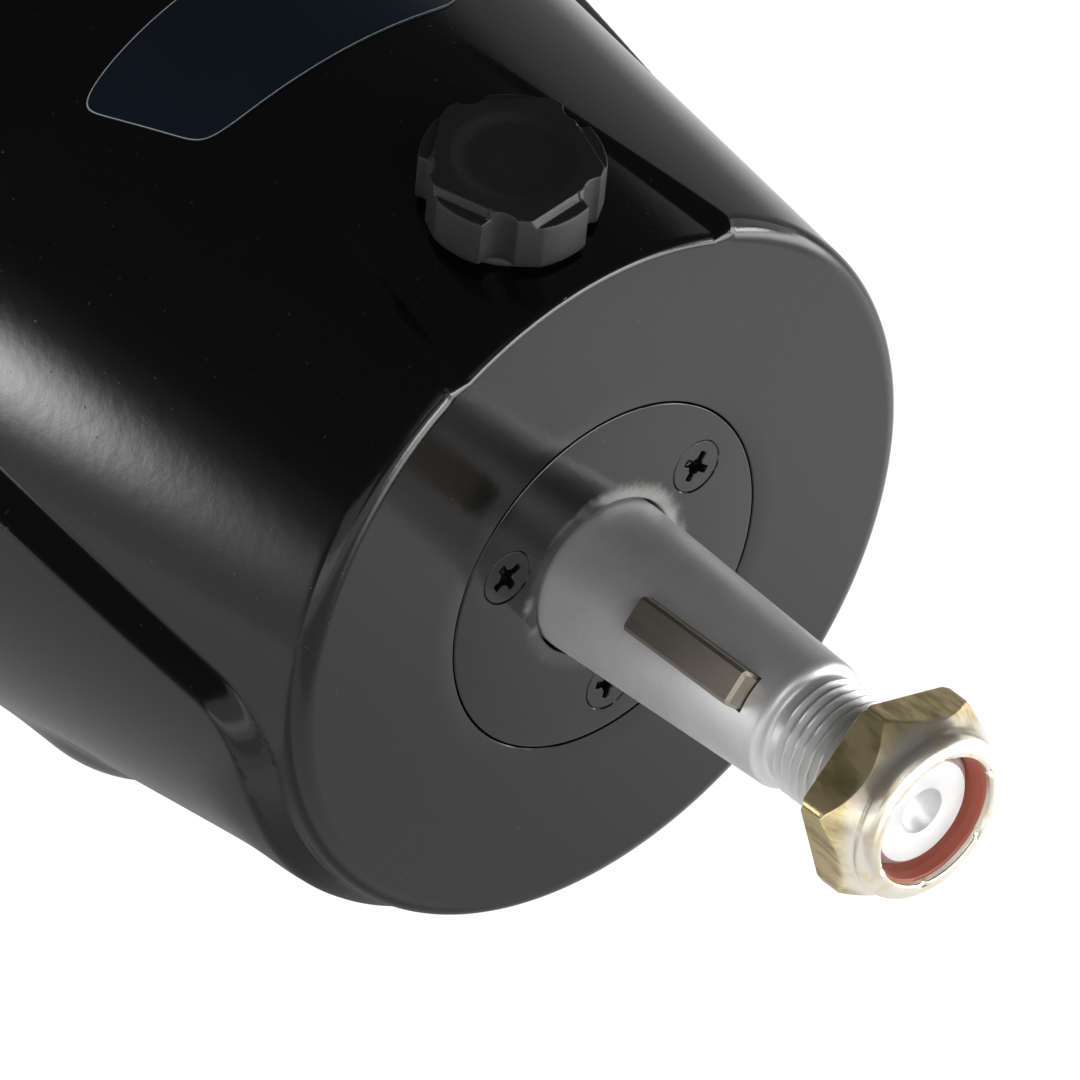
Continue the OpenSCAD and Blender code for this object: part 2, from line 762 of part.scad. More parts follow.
module wheel_nut() {
    blank_r = hex_r(nut_af) + clear_gap;
    slope = tan(nut_chamfer_angle);
    hex_y = nut_y - nut_hex_h + clear_gap * slope;
    color("#c8ad74") difference() {
        intersection() {
            hex_bar(nut_af, nut_front_y, nut_y, nut_angle);
            turned(concat(
                [[0, nut_y], [nut_face_r, nut_y], [blank_r, nut_y - (blank_r - nut_face_r) * slope],
                 [blank_r, hex_y], [nut_collar_r, hex_y - (blank_r - nut_collar_r) * slope]],
                arc([nut_collar_r - nut_collar_edge, nut_front_y + nut_collar_edge], nut_collar_edge, 0, -90),
                [[0, nut_front_y]]));
        }
        bar(thread_r + running_gap, nut_front_y, nut_y + overcut);
        bar(insert_r + running_gap, insert_front_y - running_gap, insert_front_y + insert_h + running_gap);
        bar(crimp_r, nut_front_y - overcut, insert_front_y);
    }
}

module nut_insert() {
    color("#8d4a38") tube(insert_r, thread_r + running_gap, insert_front_y, insert_front_y + insert_h);
}

// Lobed head of the cap: a disc less a round notch, a low ledge and a flat flank for each lobe
module cap_head() {
    difference() {
        cylinder(r = cap_r, h = cap_h);
        for (i = [0 : cap_lobes - 1]) rotate([0, 0, 90 + cap_angle + 360 * i / cap_lobes]) {
            translate([cap_notch_from, 0, -overcut]) cylinder(r = cap_notch_r, h = cap_h + 2 * overcut);
            rotate([0, 0, -cap_ledge_angle]) translate([cap_ledge_from, -cap_r, cap_h - cap_ledge_t])
                cube([cap_r, 2 * cap_r, cap_r]);
            rotate([0, 0, cap_flank_angle]) translate([cap_flank_from, -cap_r, -overcut])
                cube([cap_r, 2 * cap_r, cap_h + 2 * overcut]);
        }
        translate([0, 0, cap_h - cap_dish])
            cylinder(r1 = cap_dish_r - cap_dish, r2 = cap_dish_r, h = cap_dish + held_gap);
    }
}

module filler_cap() {
    gap = clear_gap;
    ring_r = cap_ring_t / 2;
    groove_t = cap_ring_t - cap_seat_t - gap + running_gap;
    color("#2b2b2d") on_platform() difference() {
        union() {
            translate([0, 0, gap]) cap_head();
            translate([0, 0, -stem_l]) cylinder(r = stem_r, h = stem_l + gap + overcut);
        }
        translate([0, 0, gap - overcut]) difference() {
            cylinder(r = cap_ring_r + ring_r + running_gap, h = groove_t + overcut);
            cylinder(r = cap_ring_r - ring_r - running_gap, h = cap_h);
        }
    }
}

module cap_o_ring() {
    ring_r = cap_ring_t / 2;
    color("#0f0f0f") on_platform() translate([0, 0, ring_r - cap_seat_t])
        rotate_extrude() translate([cap_ring_r, 0]) circle(r = ring_r, $fn = ball_fn);
}

module label_plate() {
    start = face_y + plate_from;
    end = start + plate_l;
    skin = [cone_at(cone_r, cone_angle, plate_from), cone_at(cone_r, cone_angle, plate_from + plate_l)];
    front_x = skin[0] * sin(plate_half_angle);
    rear_x = skin[1] * sin(plate_rear_half_angle);
    color("#0d1a26") intersection() {
        turned([[skin[0] + held_gap, start], [skin[0] + plate_t, start],
                [skin[1] + plate_t, end], [skin[1] + held_gap, end]]);
        linear_extrude(height = flange_r)
            polygon([[-front_x, start], [front_x, start], [rear_x, end], [-rear_x, end]]);
    }
}

module swash_plate() {
    start = chamber_y;
    outer = chamber_r - held_gap;
    color("#8e9196") difference() {
        bar(outer, start, swash_y + chamber_r);
        bar(swash_hole_r, start - overcut, swash_y + chamber_r + overcut);
        on_swash() cylinder(r = 2 * chamber_r, h = 2 * chamber_r);
    }
}

// One flat race with its ball groove, from a height on the swash's axis
module thrust_race(from, groove_h) {
    on_swash() difference() {
        translate([0, 0, from]) cylinder(r = race_outer_r, h = race_t);
        translate([0, 0, from - overcut]) cylinder(r = race_inner_r, h = race_t + 2 * overcut);
        translate([0, 0, groove_h]) rotate_extrude()
            translate([thrust_circle_r, 0]) circle(r = thrust_groove_r, $fn = ball_fn);
    }
}

module thrust_race_fixed() {
    color("#b4b7bb") thrust_race(held_gap, thrust_ball_h);
}

module thrust_race_turning() {
    color("#b4b7bb") thrust_race(turning_race_h, thrust_ball_h);
}

module thrust_ball_row(d) {
    for (i = [0 : thrust_ball_count - 1]) rotate([0, 0, 360 * i / thrust_ball_count])
        translate([thrust_circle_r, 0, thrust_ball_h]) sphere(d = d, $fn = ball_fn);
}

module thrust_balls() {
    color("#cfd2d6") on_swash() thrust_ball_row(thrust_ball_d);
}

module thrust_cage() {
    color("#b08d57") on_swash() difference() {
        translate([0, 0, thrust_ball_h - cage_t / 2]) difference() {
            cylinder(r = race_outer_r - clear_gap, h = cage_t);
            translate([0, 0, -overcut]) cylinder(r = race_inner_r + clear_gap, h = cage_t + 2 * overcut);
        }
        thrust_ball_row(thrust_ball_d + 4 * running_gap);
    }
}

module rotor() {
    color("#7d8085") difference() {
        bar(rotor_r, rotor_y, rotor_end_y);
        hex_bar(drive_af + 2 * held_gap, rotor_y - overcut, rotor_end_y + overcut);
        around(piston_count, piston_angle) translate([piston_circle_r, 0, 0]) {
            bar(piston_r + running_gap, rotor_y - overcut, bore_floor_y);
            bar(feed_hole_r, bore_floor_y - overcut, rotor_end_y + overcut);
        }
    }
}

module pistons() {
    bore_y = piston_end_y - piston_bore_l;
    color("#a9acb0") around(piston_count, piston_angle) translate([piston_circle_r, 0, 0])
        turned(concat([[0, piston_nose_y]],
                      arc([0, piston_nose_y + piston_r], piston_r, piston_nose_angle, 0),
                      [[piston_r, piston_end_y], [piston_bore_r, piston_end_y],
                       [piston_bore_r, bore_y], [0, bore_y]]));
}

module piston_springs() {
    outer = piston_bore_r - running_gap;
    color("#9a9da1") around(piston_count, piston_angle) translate([piston_circle_r, 0, 0])
        tube(outer, outer - spring_wire_d, piston_end_y - piston_bore_l + held_gap, bore_floor_y - held_gap);
}

module port_plate() {
    color("#a57c45") difference() {
        tube(rotor_r, bush_r + clear_gap, port_plate_y, port_plate_y + port_plate_t);
        for (side = [0, 180]) rotate([0, side, 0]) translate([0, port_plate_y - overcut, 0])
            rotate([-90, -kidney_angle / 2, 0]) rotate_extrude(angle = kidney_angle)
                translate([piston_circle_r - kidney_w / 2, 0]) square([kidney_w, port_plate_t + 2 * overcut]);
    }
}

module rear_bush() {
    color("#a57c45") tube(bush_r, rear_journal_r + running_gap, bush_y + held_gap, bush_y + bush_l);
}

module valve_block() {
    seat_end = seat_x + seat_l / 2;
    flat_r = hex_r(plug_af) + clear_gap;
    color("#9b9ea2") difference() {
        bar(spigot_r, block_y, block_end_y);
        // Port plate recess, bush bore and O-ring groove in the front face
        bar(rotor_r + running_gap, block_y - overcut, block_floor_y);
        bar(bush_r + held_gap, block_y, bush_y + bush_l + held_gap);
        tube(block_ring_r + block_groove_t / 2, block_ring_r - block_groove_t / 2,
             block_y - overcut, block_y + block_groove_t);
        around(bolt_count) translate([bolt_circle_r, 0, 0])
            bar(bolt_d / 2 + clear_gap / 2, block_y - overcut, block_end_y + overcut);
        // Lock valve: spool bore, seats, poppet chambers, plug threads and flats for the plugs
        at_valve() {
            cross_bar(valve_bore_r + running_gap, -seat_x + seat_l / 2, seat_x - seat_l / 2);
            cross_bar(seat_r, -seat_end, seat_end);
            for (side = [0, 1]) mirror([side, 0, 0]) {
                cross_bar(valve_bore_r + running_gap, seat_end, plug_seat_x);
                cross_bar(plug_r + held_gap, spring_end_x, plug_seat_x + overcut);
                cross_bar(flat_r, plug_seat_x, spigot_r + overcut);
            }
        }
        // Feed from the kidneys to the spool bore, and the steering ports behind the poppets
        for (side = [-1, 1]) {
            translate([side * (seat_x - seat_l), 0, -valve_drop])
                bar(passage_r, block_floor_y - overcut, valve_y);
            translate([side * port_x, 0, -valve_drop]) {
                bar(passage_r, valve_y, port_bore_y + overcut);
                bar(port_r + held_gap, port_bore_y, block_end_y + overcut);
            }
        }
        // Plugged filling port, through to the fluid chamber
        translate([0, 0, spare_port_z]) bar(port_r + held_gap, port_bore_y, block_end_y + overcut);
        translate([0, 0, spare_port_z]) bar(passage_r, block_floor_y - overcut, port_bore_y + overcut);
    }
}

module block_o_ring() {
    section_r = block_groove_t / 2 - held_gap;
    color("#101010") o_ring(block_ring_r, section_r, block_y + block_groove_t / 2);
}

module block_bolts() {
    color("#8f9296") around(bolt_count) translate([bolt_circle_r, 0, 0]) difference() {
        union() {
            bar(bolt_d / 2, block_y - bolt_depth, block_end_y + overcut);
            bar(bolt_head_d / 2, block_end_y, block_end_y + bolt_head_h);
        }
        hex_bar(bolt_socket_af, block_end_y + bolt_head_h / 2, block_end_y + bolt_head_h + overcut);
    }
}

module lock_spool() {
    color("#c3c6ca") at_valve() difference() {
        cross_bar(valve_bore_r, -spool_half_l, spool_half_l);
        difference() {
            cross_bar(valve_bore_r + overcut, -spool_half_l / 3, spool_half_l / 3);
            cross_bar(spool_groove_r, -spool_half_l, spool_half_l);
        }
    }
}

// A check poppet on the right: a stem towards the spool, a cone on the seat and a guided head
module poppet() {
    seat_end = seat_x + seat_l / 2;
    cone_l = valve_bore_r - poppet_stem_r;
    at_valve() rotate([0, 0, -90]) turned([
        [0, poppet_x], [poppet_stem_r, poppet_x], [poppet_stem_r, seat_end - clear_gap],
        [seat_r - clear_gap, seat_end - clear_gap], [seat_r - clear_gap, seat_end],
        [seat_r + clear_gap, seat_end + clear_gap], [valve_bore_r, seat_end + cone_l / 2],
        [valve_bore_r, poppet_end_x], [0, poppet_end_x]]);
}

module check_poppet_right() {
    color("#c3c6ca") poppet();
}

module check_poppet_left() {
    color("#c3c6ca") mirror([1, 0, 0]) poppet();
}

// The space that a poppet's spring takes up on the right
module poppet_spring() {
    outer = valve_bore_r - running_gap;
    at_valve() difference() {
        cross_bar(outer, poppet_end_x + held_gap, spring_end_x - held_gap);
        cross_bar(outer - spring_wire_d, poppet_end_x, spring_end_x);
    }
}

module poppet_spring_right() {
    color("#9a9da1") poppet_spring();
}

module poppet_spring_left() {
    color("#9a9da1") mirror([1, 0, 0]) poppet_spring();
}

module valve_plugs() {
    color("#a7aaae") at_valve() for (side = [0, 1]) mirror([side, 0, 0]) {
        cross_bar(plug_r, spring_end_x, plug_seat_x + overcut);
        translate([plug_seat_x, 0, 0]) rotate([0, 90, 0])
            cylinder(r = hex_r(plug_af), h = plug_head_h, $fn = 6);
    }
}

module port_fittings() {
    tube_end_y = block_end_y + fitting_hex_h + fitting_tube_l;
    color("#b5924c") for (side = [-1, 1]) translate([side * port_x, 0, -valve_drop]) difference() {
        union() {
            bar(port_r, port_bore_y + held_gap, block_end_y + overcut);
            hex_bar(fitting_af, block_end_y, block_end_y + fitting_hex_h);
            bar(fitting_tube_r, block_end_y + fitting_hex_h - overcut, tube_end_y);
        }
        bar(passage_r, port_bore_y - overcut, tube_end_y + overcut);
        turned([[0, tube_end_y - passage_r], [passage_r, tube_end_y - passage_r],
                [fitting_tube_r - overcut, tube_end_y + held_gap], [0, tube_end_y + held_gap]]);
    }
}

module spare_port_plug() {
    color("#a7aaae") translate([0, 0, spare_port_z]) difference() {
        union() {
            bar(port_r, port_bore_y + held_gap, block_end_y + overcut);
            bar(port_r + overcut, block_end_y, block_end_y + plug_head_h);
        }
        hex_bar(bolt_socket_af, block_end_y + overcut, block_end_y + plug_head_h + overcut);
    }
}

module flange_gasket() {
    edge = flange_edge_r / 2;
    color("#161616") difference() {
        tube(flange_r - edge, spigot_r + edge, flange_y, 0);
        around(stud_count, stud_angle) translate([stud_circle_r, 0, 0])
            bar(stud_d / 2 + clear_gap / 2, flange_y - overcut, overcut);
    }
}

module mounting_studs() {
    chamfer = stud_d / 8;
    color("#c0c3c7") around(stud_count, stud_angle) translate([stud_circle_r, 0, 0])
        turned([[0, flange_y - stud_depth], [stud_end_d / 2, flange_y - stud_depth],
                [stud_end_d / 2, 0], [stud_d / 2, 0], [stud_d / 2, stud_l - chamfer],
                [stud_d / 2 - chamfer, stud_l], [0, stud_l]]);
}

front_housing();
seal_cover();
cover_screws();
cover_o_ring();
shaft_seal();
bearing_outer_race();
bearing_inner_race();
bearing_balls();
bearing_cage();
bearing_circlip();
shaft();
shaft_key();
wheel_nut();
nut_insert();
filler_cap();
cap_o_ring();
label_plate();
swash_plate();
thrust_race_fixed();
thrust_balls();
thrust_cage();
thrust_race_turning();
rotor();
pistons();
piston_springs();
port_plate();
rear_bush();
valve_block();
block_o_ring();
block_bolts();
lock_spool();
check_poppet_left();
check_poppet_right();
poppet_spring_left();
poppet_spring_right();
valve_plugs();
port_fittings();
spare_port_plug();
flange_gasket();
mounting_studs();
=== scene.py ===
"""Looks of a front-mount hydraulic steering helm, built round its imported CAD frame."""
import json
import logging
import math
from dataclasses import dataclass
from enum import Enum
from typing import Any, Callable, ClassVar, Optional, Sequence, Union

import bmesh
import bpy
import numpy as np
from mathutils import Matrix, Vector


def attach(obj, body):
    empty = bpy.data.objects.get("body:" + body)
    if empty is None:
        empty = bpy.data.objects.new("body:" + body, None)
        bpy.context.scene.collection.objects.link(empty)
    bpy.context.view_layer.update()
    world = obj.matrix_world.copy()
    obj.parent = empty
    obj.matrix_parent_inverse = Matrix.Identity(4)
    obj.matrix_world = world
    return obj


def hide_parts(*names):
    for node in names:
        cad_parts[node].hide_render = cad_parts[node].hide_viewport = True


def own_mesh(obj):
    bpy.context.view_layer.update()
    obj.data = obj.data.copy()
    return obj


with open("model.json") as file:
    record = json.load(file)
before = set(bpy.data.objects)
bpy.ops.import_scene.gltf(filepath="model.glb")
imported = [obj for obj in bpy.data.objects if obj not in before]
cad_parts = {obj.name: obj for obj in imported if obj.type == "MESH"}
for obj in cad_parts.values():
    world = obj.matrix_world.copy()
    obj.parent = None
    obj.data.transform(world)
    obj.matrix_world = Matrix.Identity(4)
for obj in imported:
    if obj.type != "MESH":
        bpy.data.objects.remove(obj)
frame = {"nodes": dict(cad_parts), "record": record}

Colour = tuple[float, float, float]
Point = tuple[float, float, float]
Band = tuple[Any, Any]

MM = 0.001
TURN = 2.0 * math.pi
ORIGIN: Point = (0.0, 0.0, 0.0)
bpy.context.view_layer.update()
log = logging.getLogger("helm")


class Body(Enum):
    """Moving bodies of the frame that new pieces ride on."""

    HELM = "helm_body"
    SHAFT = "shaft"
    NUT = "wheel_nut"
    NUT_RING = "nut_ring"
    CAP = "filler_cap"


class Slot(Enum):
    """Material slots of the record."""

    PAINT = "painted_black"
    COVER = "cover_black"
    SCREW = "screw_black"
    CAP = "black_plastic"
    SHAFT = "shaft_steel"
    KEY = "key_steel"
    NUT = "zinc_yellow"
    NYLON = "nylon_ring"
    RUBBER = "black_rubber"
    LABEL = "label_film"
    BEARING = "bearing_steel"
    BRONZE = "bronze"
    BLOCK = "machined_aluminium"
    PUMP = "pump_steel"
    ZINC = "zinc_steel"
    BRASS = "brass_fitting"


# Shader expressions


class Signal:
    """A shader socket that takes part in Python arithmetic."""

    def __init__(self, recipe: "Recipe", socket: bpy.types.NodeSocket) -> None:
        """Keeps the socket and the recipe that owns it."""
        self.recipe = recipe
        self.socket = socket

    def _math(self, operation: str, left: Any, right: Any) -> "Signal":
        """Result of one Math node on two values or signals."""
        return self.recipe.add("ShaderNodeMath", {"operation": operation}, {0: left, 1: right})

    def __add__(self, other: Any) -> "Signal":
        """Sum."""
        return self._math("ADD", self, other)

    __radd__ = __add__

    def __sub__(self, other: Any) -> "Signal":
        """Difference."""
        return self._math("SUBTRACT", self, other)

    def __rsub__(self, other: Any) -> "Signal":
        """Difference from a plain number."""
        return self._math("SUBTRACT", other, self)

    def __mul__(self, other: Any) -> "Signal":
        """Product."""
        return self._math("MULTIPLY", self, other)

    __rmul__ = __mul__

    def __truediv__(self, other: Any) -> "Signal":
        """Quotient."""
        return self._math("DIVIDE", self, other)

    def __pow__(self, other: Any) -> "Signal":
        """Power."""
        return self._math("POWER", self, other)

    def step(self, low: float, high: float) -> "Signal":
        """Smooth rise from 0 at low to 1 at high.

        Args:
            low: Value that gives 0.
            high: Value that gives 1.

        Returns:
            The eased mask.
        """
        return self.recipe.add(
            "ShaderNodeMapRange", {"interpolation_type": "SMOOTHSTEP"},
            {"Value": self, "From Min": low, "From Max": high, "To Min": 0.0, "To Max": 1.0})


@dataclass(frozen=True)
class Grain:
    """Noise of a finish: cycles a millimetre, octaves, and the share of each finer octave.

    Where mask is set, the noise is eased from 0 to 1 between its two values. tint, rough and rise
    are its weights in the colour's mix, the roughness and the height.
    """

    scale: float
    detail: float = 2.0
    finer: float = 0.5
    mask: Optional[tuple[float, float]] = None
    tint: float = 0.0
    rough: float = 0.0
    rise: float = 0.0


class Layer(Signal):
    """Noise of one grain, which knows its weights."""

    def __init__(self, signal: Signal, grain: Grain) -> None:
        """Keeps the noise and its grain."""
        super().__init__(signal.recipe, signal.socket)
        self.grain = grain

    @property
    def tint(self) -> Signal:
        """Its share in the colour's mix."""
        return self * self.grain.tint

    @property
    def rough(self) -> Signal:
        """Its share in the roughness."""
        return self * self.grain.rough

    @property
    def rise(self) -> Signal:
        """Its share in the height."""
        return self * self.grain.rise


class Recipe:
    """Node tree of one material, with its Principled shader."""

    def __init__(self, name: str) -> None:
        """Starts an empty tree with a shader and an output.

        Args:
            name: Name of the material.
        """
        self.material = bpy.data.materials.new(name)
        self.material.use_nodes = True
        self.tree = self.material.node_tree
        self.tree.nodes.clear()
        self.shader = self.tree.nodes.new("ShaderNodeBsdfPrincipled")
        self.output = self.tree.nodes.new("ShaderNodeOutputMaterial")
        self.tree.links.new(self.shader.outputs[0], self.output.inputs[0])

    def put(self, socket: bpy.types.NodeSocket, value: Any) -> None:
        """Links a signal to a socket, or sets its number or colour.

        Args:
            socket: Input that receives the value.
            value: Signal, number, vector or colour.
        """
        if isinstance(value, Signal):
            self.tree.links.new(value.socket, socket)
        elif isinstance(value, tuple) and socket.type == "RGBA":
            socket.default_value = (*value, 1.0)
        else:
            socket.default_value = value

    def add(self, kind: str, settings: Optional[dict[str, Any]] = None,
            inputs: Optional[dict[Union[int, str], Any]] = None,
            output: Union[int, str] = 0) -> Signal:
        """Adds any node.

        Args:
            kind: Type name of the node.
            settings: Properties, set before the inputs.
            inputs: Values or signals by socket name or index.
            output: Which output to hand back.

        Returns:
            The chosen output.
        """
        node = self.tree.nodes.new(kind)
        for key, value in (settings or {}).items():
            setattr(node, key, value)
        for key, value in (inputs or {}).items():
            self.put(node.inputs[key], value)
        return Signal(self, node.outputs[output])

    def place(self, scale: Point = (1.0, 1.0, 1.0)) -> Signal:
        """Object coordinates in millimetres, with an extra stretch of each axis.

        Args:
            scale: Stretch of X, Y and Z; below 1 a pattern is drawn out along that axis.

        Returns:
            The vector.
        """
        coords = self.add("ShaderNodeTexCoord", output="Object")
        stretch = tuple(value / MM for value in scale)
        return self.add("ShaderNodeMapping", {}, {"Vector": coords, "Scale": stretch})

    def parts(self, vector: Signal) -> tuple[Signal, Signal, Signal]:
        """X, Y and Z of a vector as three signals."""
        split = self.add("ShaderNodeSeparateXYZ", {}, {0: vector}).socket.node
        return tuple(Signal(self, out) for out in split.outputs)

    def noise(self, vector: Signal, grain: Grain) -> Layer:
        """Fractal noise of about 0 to 1, eased where the grain has a mask.

        Args:
            vector: Where to read it.
            grain: How fine it is, and its weights.

        Returns:
            The noise with its weights.
        """
        value = self.add("ShaderNodeTexNoise", {}, {
            "Vector": vector, "Scale": grain.scale, "Detail": grain.detail,
            "Roughness": grain.finer})
        return Layer(value.step(*grain.mask) if grain.mask else value, grain)

    def mix(self, factor: Any, first: Any, second: Any) -> Signal:
        """Colour mix, first where the factor is 0 and second where it is 1."""
        inputs = {0: factor, 6: first, 7: second}
        return self.add("ShaderNodeMix", {"data_type": "RGBA"}, inputs, 2)

    def bump(self, height: Signal, depth: float) -> Signal:
        """Normal from a height of 0 to 1 that spans depth millimetres."""
        inputs = {"Strength": 1.0, "Distance": depth * MM, "Height": height}
        return self.add("ShaderNodeBump", {}, inputs)

    def shade(self, **sockets: Any) -> bpy.types.Material:
        """Sets the shader's sockets.

        Args:
            sockets: Socket names with underscores for spaces, and their values.

        Returns:
            The finished material.
        """
        for key, value in sockets.items():
            self.put(self.shader.inputs[key.replace("_", " ")], value)
        return self.material

    def glow(self, shine: Callable[["Recipe"], Signal]) -> bpy.types.Material:
        """Puts plain light in the shader's place.

        Args:
            shine: Function that wires the brightness, where 1 is white.

        Returns:
            The finished material.
        """
        self.tree.nodes.remove(self.shader)
        light = self.add("ShaderNodeEmission", {}, {"Color": shine(self)})
        self.tree.links.new(light.socket, self.output.inputs[0])
        return self.material


# Finishes


def dimmed(colour: Colour, share: float) -> Colour:
    """The colour times a share."""
    return tuple(value * share for value in colour)


@dataclass(frozen=True)
class Finish:
    """What every finish has: a name, a linear base colour and a least roughness."""

    name: str
    base: Colour
    roughness: float

    def material(self) -> bpy.types.Material:
        """The material, made once and then shared."""
        found = bpy.data.materials.get(self.name)
        return found or self.make(Recipe(self.name))

    def make(self, recipe: Recipe) -> bpy.types.Material:
        """Wires the finish; each kind of finish has its own.

        Args:
            recipe: Empty tree to fill.

        Returns:
            The finished material.
        """
        raise NotImplementedError


@dataclass(frozen=True)
class GlossPaint(Finish):
    """Sprayed black paint with a fine orange peel and stray dust, rubbed near the shaft if asked.

    Formula: peel = broad noise and fine noise added; dust = the top of a sparse noise; rub = 1
    inside a ragged radius about the shaft axis, kept in patches.
    """

    peel_scale: float = 0.55
    peel_depth: float = 0.014
    rub_inner: float = 0.0
    rub_outer: float = 0.0
    rub_colour: Colour = (0.34, 0.34, 0.33)
    dust_colour: Colour = (0.14, 0.14, 0.14)
    rag: float = 1.8
    rub_least: float = 0.1
    rub_rough: float = 0.3
    FINE: ClassVar[Grain] = Grain(3.2, 1.0, rough=0.03, rise=0.22)
    DUST: ClassVar[Grain] = Grain(1.7, 0.0, 0.0, (0.83, 0.87), tint=0.12, rough=0.2, rise=0.6)
    HAZE: ClassVar[Grain] = Grain(0.06, 3.0, 0.6, rough=0.05)
    RAGGED: ClassVar[Grain] = Grain(0.9, 4.0, 0.75)
    PATCHES: ClassVar[Grain] = Grain(0.11, 2.0, 0.6, (0.44, 0.58), tint=0.85)
    SCUFFS: ClassVar[Grain] = Grain(2.2, 3.0, 0.7, rise=2.0)

    def make(self, recipe: Recipe) -> bpy.types.Material:
        """Wires the paint.

        Args:
            recipe: Empty tree to fill.

        Returns:
            The finished material.
        """
        place = recipe.place()
        peel = recipe.noise(place, Grain(self.peel_scale, 3.0, 0.45))
        fine = recipe.noise(place, self.FINE)
        dust = recipe.noise(place, self.DUST)
        haze = recipe.noise(place, self.HAZE)
        colour = recipe.mix(dust.tint, self.base, self.dust_colour)
        rough = self.roughness + haze.rough + fine.rough + dust.rough
        height = peel + fine.rise + dust.rise
        if self.rub_outer > 0.0:
            x, _, z = recipe.parts(place)
            radius = (x * x + z * z) ** 0.5
            ragged = radius + recipe.noise(place, self.RAGGED) * self.rag - self.rag / 2.0
            patch = recipe.noise(place, self.PATCHES)
            inside = 1.0 - ragged.step(self.rub_inner, self.rub_outer)
            rub = inside * (patch.tint + self.rub_least)
            colour = recipe.mix(rub, colour, self.rub_colour)
            rough = rough + rub * self.rub_rough
            height = height + rub * recipe.noise(place, self.SCUFFS) * self.SCUFFS.rise
        return recipe.shade(
            Base_Color=colour, Roughness=rough, Normal=recipe.bump(height, self.peel_depth),
            Specular_IOR_Level=0.5, IOR=1.5)


@dataclass(frozen=True)
class TurnedSteel(Finish):
    """Metal turned about the shaft axis: fine rings, patches of tone and a few scratches.

    Formula: rings = noise drawn out round the axis and packed tightly along it.
    """

    ring_depth: float = 0.004
    tone: float = 0.14
    metallic: float = 0.62
    ROUND: ClassVar[Point] = (0.06, 1.0, 0.06)
    LENGTHWISE: ClassVar[Point] = (1.2, 0.05, 1.2)
    RINGS: ClassVar[Grain] = Grain(6.0, 3.0, 0.6, tint=0.5, rough=0.08)
    CLOUD: ClassVar[Grain] = Grain(0.22, 4.0, 0.6, tint=0.5, rough=0.10)
    SCRATCHES: ClassVar[Grain] = Grain(2.4, mask=(0.66, 0.72), rough=0.05, rise=0.6)

    def make(self, recipe: Recipe) -> bpy.types.Material:
        """Wires the turned metal.

        Args:
            recipe: Empty tree to fill.

        Returns:
            The finished material.
        """
        place = recipe.place()
        rings = recipe.noise(recipe.place(self.ROUND), self.RINGS)
        cloud = recipe.noise(place, self.CLOUD)
        scratch = recipe.noise(recipe.place(self.LENGTHWISE), self.SCRATCHES)
        dark = dimmed(self.base, 1.0 - 2.0 * self.tone)
        colour = recipe.mix(rings.tint + cloud.tint, dark, self.base)
        return recipe.shade(
            Base_Color=colour, Metallic=self.metallic,
            Roughness=self.roughness + rings.rough + cloud.rough - scratch.rough,
            Normal=recipe.bump(rings + scratch.rise, self.ring_depth))


@dataclass(frozen=True)
class YellowPlate(Finish):
    """Yellow zinc plating: gold, olive and pale patches over pressed steel.

    Formula: streaks pick between gold and olive, the collar in front is painted pale with a ragged
    edge as a painted highlight, thin wavy lines of colour in it paint that highlight's fringe, and
    fine noise gives the pressed skin.
    """

    olive: Colour = (0.40, 0.31, 0.13)
    # pale: colour of the pale specks and of the painted highlight on the collar; fringe: painted
    # colour of that highlight's fringe
    pale: Colour = (0.93, 0.89, 0.80)
    fringe: Colour = (0.86, 0.60, 0.24)
    olive_mask: tuple[float, float] = (0.40, 0.70)
    collar_y: float = -159.6
    collar_soft: tuple[float, float] = (-1.2, 0.8)
    # share of pale painted on the collar as its painted highlight
    collar_highlight: float = 0.9
    fringe_rise: tuple[float, float] = (0.46, 0.50)
    fringe_fall: tuple[float, float] = (0.51, 0.56)
    fringe_share: float = 0.3
    rag: float = 3.0
    metallic: float = 0.86
    skin_depth: float = 0.003
    DRAWN: ClassVar[Point] = (1.0, 0.3, 1.0)
    BROAD: ClassVar[Grain] = Grain(0.13, 3.0, 0.55)
    STREAKS: ClassVar[Grain] = Grain(0.35, 4.0, 0.6, rough=0.10)
    SKIN: ClassVar[Grain] = Grain(3.4, rough=0.06)
    SPECKS: ClassVar[Grain] = Grain(2.2, 1.0, mask=(0.70, 0.76), tint=0.2)

    def make(self, recipe: Recipe) -> bpy.types.Material:
        """Wires the plating.

        Args:
            recipe: Empty tree to fill.

        Returns:
            The finished material.
        """
        place = recipe.place()
        _, y, _ = recipe.parts(place)
        broad = recipe.noise(place, self.BROAD)
        streak = recipe.noise(recipe.place(self.DRAWN), self.STREAKS)
        skin = recipe.noise(place, self.SKIN)
        speck = recipe.noise(place, self.SPECKS)
        ragged = y + broad * self.rag - self.rag / 2.0
        # mask of the painted highlight: 1 on the collar's front, with a ragged edge
        collar = 1.0 - ragged.step(*(self.collar_y + off for off in self.collar_soft))
        colour = recipe.mix(streak.step(*self.olive_mask), self.base, self.olive)
        # paints the collar pale as a painted highlight, and adds the pale specks
        colour = recipe.mix(collar * self.collar_highlight + speck.tint, colour, self.pale)
        # thin wavy lines of painted fringe colour inside the collar's painted highlight
        line = broad.step(*self.fringe_rise) * (1.0 - broad.step(*self.fringe_fall))
        colour = recipe.mix(line * collar * self.fringe_share, colour, self.fringe)
        return recipe.shade(
            Base_Color=colour, Metallic=self.metallic,
            Roughness=self.roughness + skin.rough + streak.rough,
            Normal=recipe.bump(skin, self.skin_depth))


